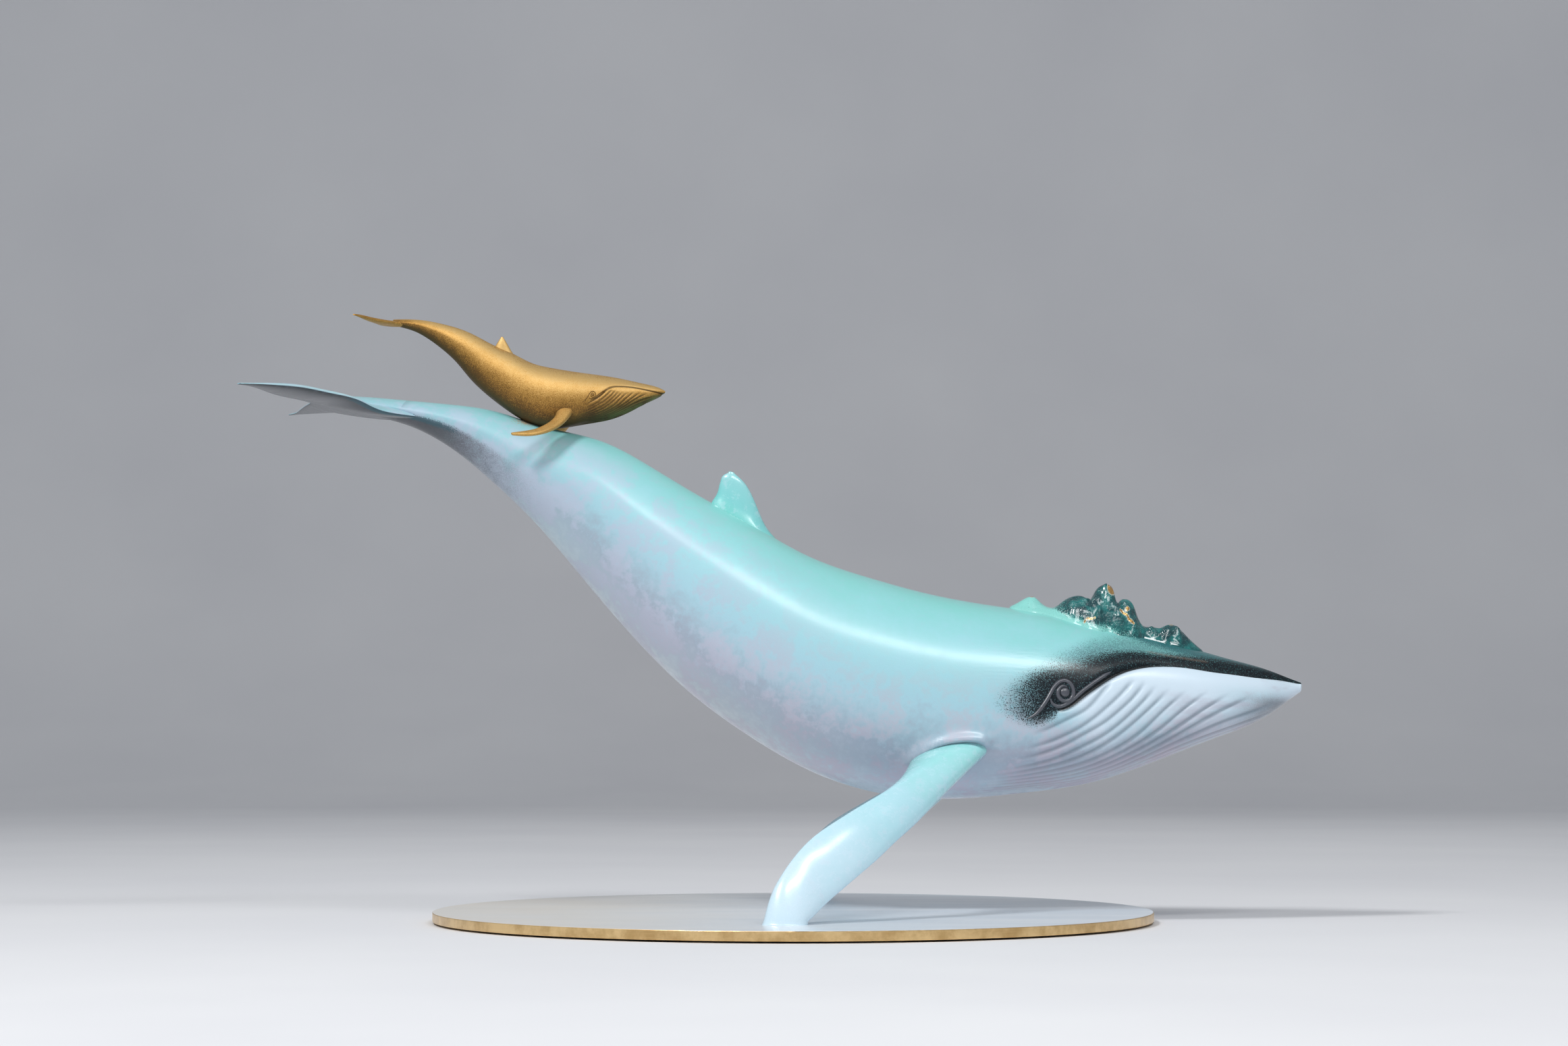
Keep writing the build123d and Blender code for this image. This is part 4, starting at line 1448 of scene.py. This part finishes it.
@dataclass
class HeadCrest:
    """Craggy crest on the head: rounded lumps on a ridge, glazed and gilt at the tips."""

    start: float = 108.0
    end: float = 232.0
    half_breadth: float = 21.0
    cell: float = 0.55
    sink: float = 1.2
    wall: float = 3.0
    wrinkle_depth: float = 0.34
    left_shift: float = 1.4  # how much further forward the lumps of the left side stand
    overhang: float = 1.16
    step: float = 0.5  # between the places at which the ridge is smoothed
    smoothing: float = 5.5
    ridge: Rows = (
        # along, height of the ridge, half breadth of the lump
        (108.0, 160.0, 5.0), (114.8, 166.3, 6.0), (119.3, 168.6, 7.0), (123.9, 171.2, 7.6),
        (126.7, 171.8, 8.0), (128.5, 171.4, 8.0), (130.8, 169.3, 8.4), (134.0, 166.9, 9.0),
        (137.7, 166.0, 10.0), (140.0, 166.9, 11.0), (143.2, 169.3, 12.0), (146.9, 171.4, 12.8),
        (150.5, 172.3, 13.0), (153.8, 172.0, 13.0), (156.1, 170.7, 13.0), (157.6, 170.0, 13.0),
        (158.8, 171.7, 12.6), (160.6, 174.9, 12.0), (162.9, 177.2, 11.6), (165.2, 178.3, 11.4),
        (168.0, 177.9, 11.6), (169.8, 176.0, 12.0), (170.7, 173.0, 12.4), (171.4, 169.8, 12.6),
        (172.2, 168.4, 12.6), (173.5, 169.5, 12.4), (175.3, 170.5, 12.0), (177.6, 170.3, 11.6),
        (179.9, 168.6, 11.0), (181.3, 165.9, 10.4), (182.7, 161.7, 9.8), (184.1, 158.5, 9.2),
        (187.3, 155.8, 8.8), (190.9, 155.8, 8.6), (194.6, 155.2, 8.6), (197.4, 156.3, 8.6),
        (200.6, 157.0, 8.6), (203.4, 156.1, 8.4), (205.7, 154.2, 8.0), (208.8, 151.0, 7.2),
        (213.0, 146.9, 6.0), (217.0, 143.6, 4.6), (232.0, 137.0, 3.0),
    )
    lumps: Rows = (
        # along, across, height, half length, half breadth
        (151.5, 9.5, 3.4, 7.5, 4.6), (147.0, 6.4, 1.4, 3.0, 3.0), (155.0, 6.6, 2.0, 3.2, 3.0),
        (161.0, 8.0, 3.0, 4.4, 4.4), (158.5, 12.0, 3.6, 8.0, 4.0), (167.0, 7.6, 3.2, 4.0, 3.8),
        (172.0, 10.0, 3.4, 4.6, 4.2), (166.0, 4.0, 1.8, 3.0, 3.0), (177.0, 6.6, 2.8, 3.6, 4.2),
        (181.0, 9.0, 2.2, 3.6, 3.6), (190.0, 5.0, 1.4, 3.6, 3.4), (198.0, 5.4, 2.4, 3.4, 3.4),
        (204.0, 4.6, 2.0, 3.0, 3.2), (127.0, 5.2, 0.6, 2.4, 2.0),
    )
    gilding: Rows = (
        # along, height, half length, half height of a gilt spot, in side view
        (169.3, 176.4, 2.6, 3.6), (126.9, 172.4, 1.6, 1.0), (200.8, 157.6, 1.9, 1.0),
        (192.0, 156.6, 2.4, 0.7), (176.9, 165.2, 1.2, 1.1),
    )
    gilt_lines: tuple[Rows, ...] = (
        ((173.2, 164.4), (176.6, 161.2), (180.0, 157.4)),
        ((153.6, 158.6), (156.0, 159.8), (159.0, 160.2)),
    )
    spread: Rows = ((108, 0.45), (125, 0.62), (150, 0.95), (180, 0.90), (200, 0.60), (232, 0.34))

    def height(self, x: Array, y: Array, top: Array) -> Array:
        """Height of the crest above the head.

        Args:
            x: Places along the head.
            y: Places across it.
            top: Height of the head in its middle, at each place along it.

        Returns:
            The height above the head at each place.
        """
        rows = np.array(self.ridge)
        ridge, breadth = spline(rows[:, 0], rows[:, 1:], x).T
        fine = np.arange(rows[0, 0], rows[-1, 0], self.step)
        crest = spline(rows[:, 0], rows[:, 1:2], fine)[:, 0]
        weights = bell(np.arange(-24, 25) * self.step, self.smoothing)
        padded = np.pad(crest, 24, mode="edge")
        massed = np.interp(x, fine, np.convolve(padded, weights / weights.sum(), "valid"))
        reach = np.clip(np.abs(y) / (self.overhang * breadth), 0, 1)
        ridge = ridge + (np.minimum(massed, ridge + 6.0) - ridge) * ease(np.abs(y), 2.5, 7.0)
        rise = np.maximum(ridge - top, 0.0)
        dome = (1 - reach**2.4) ** 1.9
        high = rise * dome
        for along, across, tall, long, broad in self.lumps:
            for side in Side:
                shift = self.left_shift if side is Side.LEFT else 0.0
                far = ((x - along - shift) / long) ** 2 + ((y - side.value * across) / broad) ** 2
                high = high + tall * np.clip(1 - far, 0, 1) ** 1.4
        return high

    def gilt(self, x: Array, z: Array) -> Array:
        """Share of gilt at places in side view."""
        share = np.zeros(len(x))
        for along, level, long, tall in self.gilding:
            far = np.sqrt(((x - along) / long) ** 2 + ((z - level) / tall) ** 2)
            share = np.maximum(share, ease(far, 1.25, 0.75))
        for corners in self.gilt_lines:
            off, _, _ = near_line(np.c_[x, z], smooth_line(corners, 20))
            share = np.maximum(share, ease(off, 0.85, 0.35))
        return share

    def build(self, skin: Skin) -> Object:
        """Model the crest on the head."""
        columns = int((self.end - self.start) / self.cell)
        rows = int(2 * self.half_breadth / self.cell)
        bpy.ops.object.select_all(action="DESELECT")
        bpy.ops.mesh.primitive_grid_add(
            x_subdivisions=columns,
            y_subdivisions=rows,
            size=1,
            location=((self.start + self.end) / 2, 0, 0),
        )
        crest = lone("whale_crest")
        crest.scale = (self.end - self.start, 2 * self.half_breadth, 1)
        bpy.ops.object.transform_apply(location=True, rotation=True, scale=True)
        flat = coordinates(crest)
        x = flat[:, 0]
        y = flat[:, 1] * np.interp(x, *zip(*self.spread))
        base = np.array([skin.above(a, b) for a, b in zip(x, y)])
        level = {round(a, 3): skin.above(a, 0.0) for a in x}
        top = np.array([level[round(a, 3)] for a in x])
        high = self.height(x, y, top)
        wrinkle = np.sin(x * 1.9 + 1.7 * np.sin(y * 1.1)) * np.sin(y * 2.1 + 1.3 * np.sin(x * 1.3))
        wrinkle += 0.6 * np.sin(x * 0.8 + y * 1.3) * np.sin(y * 0.9 - x * 0.5)
        rough = ease(high, 1.0, 5.0) * ease(x, 132.0, 146.0)
        high = high + self.wrinkle_depth * wrinkle * rough * ease(np.abs(y), 1.0, 4.0)
        height = base + high - self.sink * ease(high, 1.0, 0.0)
        set_coordinates(crest, np.c_[x, y, height] * MM)
        fade = ease(x, 148.0, 128.0) + ease(high, 4.5, 0.4) * ease(x, 190.0, 150.0)
        mark(crest, gilt=self.gilt(x, height), fade=np.clip(fade, 0, 1), lumpy=rough)
        thick = crest.modifiers.new("thick", "SOLIDIFY")
        thick.thickness = self.wall * MM
        thick.offset = -1.0
        finish_modifiers(crest)
        smooth(crest, SHARP)
        return crest


# Calf


@dataclass
class CalfBody:
    """The calf's body, with its mouth and its mother's throat pleats at its own scale."""

    rings: int = 60
    around: int = 60
    chin: float = -69.0
    share: float = 0.29
    nose: float = 0.8
    pleat_depth: float = 0.55
    pleat_width: float = 0.55
    jaw_swell: float = 0.45
    groove_depth: float = 0.5
    tail_span: Pair = (-180.0, -215.0)
    throat_span: Pair = (-112.0, -92.0)
    mouth: Rows = (
        (-68.4, 279.4), (-77.8, 281.4), (-86.7, 282.9), (-92.0, 283.1), (-96.3, 282.6),
        (-98.7, 281.2), (-101.6, 278.3), (-106.6, 275.5),
    )

    def pleat_marks(self, points: Array, arc: Array) -> Array:
        """Depth of the pleats, from 0 to 1, at each corner of the mesh."""
        crease = np.zeros(len(points))
        for corners in WhaleBody.pleats:
            line = smooth_line(corners, 50)
            x = self.chin - (WHALE.origin_x - line[:, 0]) * self.share
            line = np.c_[x, line[:, 1] * self.share]
            off, _, share = near_line(np.c_[points[:, 0], arc], line)
            ends = ease(share, 0.0, 0.08) * ease(share, 0.92, 0.6)
            crease = np.maximum(crease, bell(off, self.pleat_width) * ends)
        return crease

    def build(self) -> Object:
        """Model the body."""
        tube = extruded_tube("calf_body_cast", self.rings, self.around)
        nose = np.linspace(-1, 0, 7)[:-1]
        t = np.linspace(0, 1, self.rings * FINENESS + 1 - len(nose))
        shares = np.r_[nose, 0.55 * t + 0.45 * t**2]
        points, girth = CALF.grid(shares, self.around * FINENESS, self.nose)
        ring, place = fit_tube(tube, points)
        arc, half = girth[ring, place], girth.max(axis=1)[ring]
        spots, facing = coordinates(tube) / MM, coordinates(tube, "normal")
        distance, side, along = near_line(spots[:, [0, 2]], smooth_line(self.mouth, 40))
        flank = ease(np.abs(spots[:, 1]), 0.1, 1.2)
        groove = bell(distance, 0.42) * ease(along, 1.03, 0.95) * flank
        swell = ease(distance, 8.0, 1.0) * ease(distance, 0.0, 0.6) * ease(along, 1.0, 0.8)
        pleat = self.pleat_marks(spots, arc)
        lift = self.jaw_swell * swell * flank * (side > 0)
        lift -= self.groove_depth * groove + self.pleat_depth * pleat
        set_coordinates(tube, (spots + facing * lift[:, None]) * MM)
        tail = ease(spots[:, 0], *self.tail_span)
        throat = ease(spots[:, 0], *self.throat_span)
        # rise drives the gilding's painted shade, darker low down, and is lowered towards the
        # tail; crease is painted shade in the pleats and the mouth groove.
        mark(
            tube,
            rise=arc / half * (1 - 0.35 * tail),
            crease=np.clip(np.maximum(pleat * 0.75, groove), 0, 1),
            chin=throat * ease(arc / half, 0.52, 0.15),
        )
        smooth(tube, SHARP)
        return tube


CALF_FLUKES = Flukes(
    "calf_flukes_cast",
    CALF,
    23.0,
    3.0,
    24,
    12,
    (
        (0.00, -0.500, 1.012, -0.614, 1.024, 1.00),
        (0.14, -0.535, 1.023, -0.618, 1.030, 0.92),
        (0.32, -0.566, 1.033, -0.626, 1.039, 0.84),
        (0.62, -0.615, 1.058, -0.645, 1.060, 0.70),
        (0.87, -0.648, 1.081, -0.662, 1.082, 0.48),
        (0.99, -0.668, 1.093, -0.675, 1.093, 0.24),
    ),
)
CALF_BACK_FIN = BackFin(
    "calf_back_fin",
    CALF,
    5.0,
    10,
    12,
    (
        (-0.240, 0.765, -0.155, 0.665, 1.00),
        (-0.231, 0.826, -0.182, 0.772, 0.68),
        (-0.222, 0.868, -0.197, 0.846, 0.44),
        (-0.216, 0.894, -0.207, 0.893, 0.20),
    ),
)


@dataclass
class CalfFins:
    """Flukes, back fin and flippers of the calf, with the mark that the gilding reads.

    A row of a flipper gives along, out and up of its rear edge, the same of its front
    edge, and its thickness.
    """

    roll: float = 4.2
    roll_centre: Pair = (-0.519, 1.0195)
    reach: float = 33.0
    flipper_thickness: float = 6.0
    flipper_rows: Rows = (
        (-0.036, 0.24, 0.240, 0.028, 0.24, 0.246, 1.00),
        (-0.034, 0.38, 0.155, 0.016, 0.42, 0.176, 0.85),
        (-0.050, 0.49, 0.084, -0.008, 0.60, 0.085, 0.74),
        (-0.072, 0.61, 0.040, -0.036, 0.75, 0.022, 0.64),
        (-0.100, 0.75, 0.004, -0.070, 0.89, -0.022, 0.52),
        (-0.132, 0.88, -0.014, -0.112, 0.97, -0.047, 0.40),
        (-0.165, 0.98, -0.027, -0.158, 1.01, -0.046, 0.26),
    )

    def flukes(self) -> Object:
        """Model both flukes, rolled about the stock."""
        flukes = CALF_FLUKES.build()
        points = coordinates(flukes) / MM
        height = CALF.place(*self.roll_centre)[2]
        turn = math.radians(self.roll)
        y, z = points[:, 1].copy(), points[:, 2] - height
        points[:, 1] = y * math.cos(turn) - z * math.sin(turn)
        points[:, 2] = height + y * math.sin(turn) + z * math.cos(turn)
        set_coordinates(flukes, points * MM)
        mark(flukes, rise=0.5)
        return flukes

    def dorsal(self) -> Object:
        """Model the fin on the back."""
        fin = CALF_BACK_FIN.build()
        mark(fin, rise=0.75)
        return fin

    def flipper(self, side: Side) -> Object:
        """Model the flipper of one side."""
        reach = side.value * self.reach
        rear = tuple(CALF.place(row[0], row[2], reach * row[1]) for row in self.flipper_rows)
        front = tuple(CALF.place(row[3], row[5], reach * row[4]) for row in self.flipper_rows)
        thick = tuple(self.flipper_thickness * row[6] for row in self.flipper_rows)
        name = "calf_flipper_cast_" + side.name.lower()
        flipper = Blade(name, rear, front, thick, 14, 14).build()
        mark(flipper, rise=0.62)
        return flipper


# Studio


@dataclass
class Studio:
    """Plain floor, soft lights and the camera."""

    camera_place: Triple = (-4.8, -1966.0, 109.3)
    camera_tilt: float = 2.96
    lens: float = 85.0
    sensor: float = 36.0
    aim: Triple = (0.02, 0.0, 0.16)
    floor_run: Pair = (-6.0, 7.0)
    floor_width: float = 16.0
    glow: float = 0.5
    sweep_start: float = 2.4
    sweep_radius: float = 1.2

    def camera(self) -> None:
        """Set the camera at the photograph's angle."""
        data = bpy.data.cameras.new("camera")
        data.lens = self.lens
        data.sensor_width = self.sensor
        data.sensor_fit = "HORIZONTAL"
        data.clip_start, data.clip_end = 0.05, 60.0
        camera = bpy.data.objects.new("camera", data)
        camera.location = tuple(value * MM for value in self.camera_place)
        camera.rotation_euler = (math.radians(90 + self.camera_tilt), 0, 0)
        bpy.context.scene.collection.objects.link(camera)
        bpy.context.scene.camera = camera

    def lamp(
        self,
        name: str,
        place: Triple,
        size: Pair,
        power: float,
        mirrored: bool = True,
    ) -> None:
        """Add a soft rectangular lamp that looks at the middle of the figure.

        Args:
            name: Name of the lamp.
            place: Where it stands, in metres.
            size: Its length and width, in metres.
            power: Its power in watts.
            mirrored: Whether gloss shows it.
        """
        data = bpy.data.lights.new(name, "AREA")
        data.shape = "RECTANGLE"
        data.size, data.size_y = size
        data.energy = power
        lamp = bpy.data.objects.new(name, data)
        lamp.location = place
        lamp.visible_glossy = mirrored
        bpy.context.scene.collection.objects.link(lamp)
        aim = np.array(self.aim) - np.array(place)
        lamp.rotation_euler = (
            math.atan2(math.hypot(aim[0], aim[1]), -aim[2]),
            0,
            math.atan2(aim[1], aim[0]) - math.pi / 2,
        )

    def build(self) -> None:
        """Set up floor, world and lamps."""
        bpy.ops.object.select_all(action="DESELECT")
        bpy.ops.mesh.primitive_grid_add(x_subdivisions=1, y_subdivisions=60, size=1)
        floor = lone("floor")
        points = coordinates(floor)
        run = np.interp(points[:, 1], (-0.5, 0.5), self.floor_run)
        turn = np.clip((run - self.sweep_start) / self.sweep_radius, 0, math.pi / 2)
        wall = np.maximum(run - self.sweep_start - self.sweep_radius * math.pi / 2, 0)
        depth = np.minimum(run, self.sweep_start) + self.sweep_radius * np.sin(turn)
        height = self.sweep_radius * (1 - np.cos(turn)) + wall
        set_coordinates(floor, np.c_[points[:, 0] * self.floor_width, depth, height])
        smooth(floor)
        paper = Palette("floor_paper")
        cloud = paper.noise(3, 3, 0.5)
        shade = paper.ramp(cloud, ((0.3, tint(224, 225, 228)), (0.7, tint(230, 231, 233))))
        paper.set(Base_Color=shade, Roughness=0.7, Specular_IOR_Level=0.2)
        floor.data.materials.append(paper.material)
        world = bpy.data.worlds.new("studio")
        world.use_nodes = True
        background = world.node_tree.nodes["Background"].inputs
        background["Color"].default_value = (*tint(205, 208, 214), 1)
        background["Strength"].default_value = self.glow
        bpy.context.scene.world = world
        self.lamp("key", (-1.0, -1.25, 1.85), (0.4, 0.4), 30.0)
        self.lamp("strip", (0.62, -1.2, 1.62), (1.16, 0.26), 12.4)
        self.lamp("fill", (1.5, -1.4, 0.7), (1.4, 1.0), 1.4, False)
        self.lamp("rear", (0.3, 1.5, 1.3), (1.4, 1.0), 3.0, False)
        bpy.context.scene.view_settings.view_transform = "Standard"


# Assembling


def keep_nodes(names: tuple[str, ...], finish: Material) -> None:
    """Give CAD nodes that stay a finish."""
    for name in names:
        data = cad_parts[name].data
        data.materials.clear()
        data.materials.append(finish)
        log.info("%s keeps its solid", name)


def main() -> None:
    """Build the figure, class by class, and put it on the frame."""
    logging.basicConfig(level=logging.INFO, format="%(message)s")
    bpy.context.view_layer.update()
    studio = Studio()
    studio.camera()
    studio.build()

    patina = Patina().material()
    fin = FinPatina(
        "back_fin_patina", tint(122, 212, 202), tint(130, 208, 208), tint(150, 214, 216)
    ).material()
    legs = FinPatina(
        "flipper_patina",
        tint(150, 222, 218),
        tint(184, 230, 240),
        tint(214, 238, 250),
        # Painted shade colour of the faces that look down.
        tint(190, 212, 232),
    ).material()
    gilding = Gilding().material()

    body = WhaleBody().build()
    skin = Skin(body)
    place_piece(body, "sea_patina", patina, "body_shell")
    curls = EyeCurl().build(skin)
    # The curls take a dark grey from the under mark as their own colour, not as shade.
    mark(curls, rise=0.3, along=0.2, under=0.85, polish=0.6)
    place_piece(curls, "sea_patina", patina)
    place_piece(TailFlukes().build(), "sea_patina", patina, "tail_flukes")
    place_piece(WHALE_BACK_FIN.build(), "sea_patina", fin, "dorsal_fin")
    place_piece(HeadCrest().build(skin), "crest_glaze", Glaze().material(), "head_crest")
    for side in Side:
        node = "flipper_" + side.name.lower()
        place_piece(Flipper(side).build(), "pale_patina", legs, node)

    fins = CalfFins()
    calf = CalfBody().build()
    calf_skin = Skin(calf)
    place_piece(calf, "calf_gold", gilding, "calf_body")
    calf_curls = EyeCurl("calf_eye_curls", 0.3, (-105.9, 278.3), width=0.27).build(calf_skin)
    # The curls take a brown gold from the rise and crease marks as their own colour.
    mark(calf_curls, rise=0.4, crease=0.4)
    place_piece(calf_curls, "calf_gold", gilding)
    place_piece(fins.flukes(), "calf_gold", gilding, "calf_flukes")
    place_piece(fins.dorsal(), "calf_gold", gilding, "calf_dorsal_fin")
    for side in Side:
        node = "calf_flipper_" + side.name.lower()
        place_piece(fins.flipper(side), "calf_gold", gilding, node)

    keep_nodes(("base_plate",), PlateFinish().material(PLATE_TOP))
    keep_nodes(("felt_underlay",), Hidden.FELT.material())
    keep_nodes(
        (
            "foot_screws",
            "tail_pin",
            "dorsal_fin_pins",
            "head_crest_pins",
            "flipper_root_pins",
            "calf_seat_pins",
        ),
        Hidden.STEEL.material(),
    )


if __name__ == "__main__":
    main()
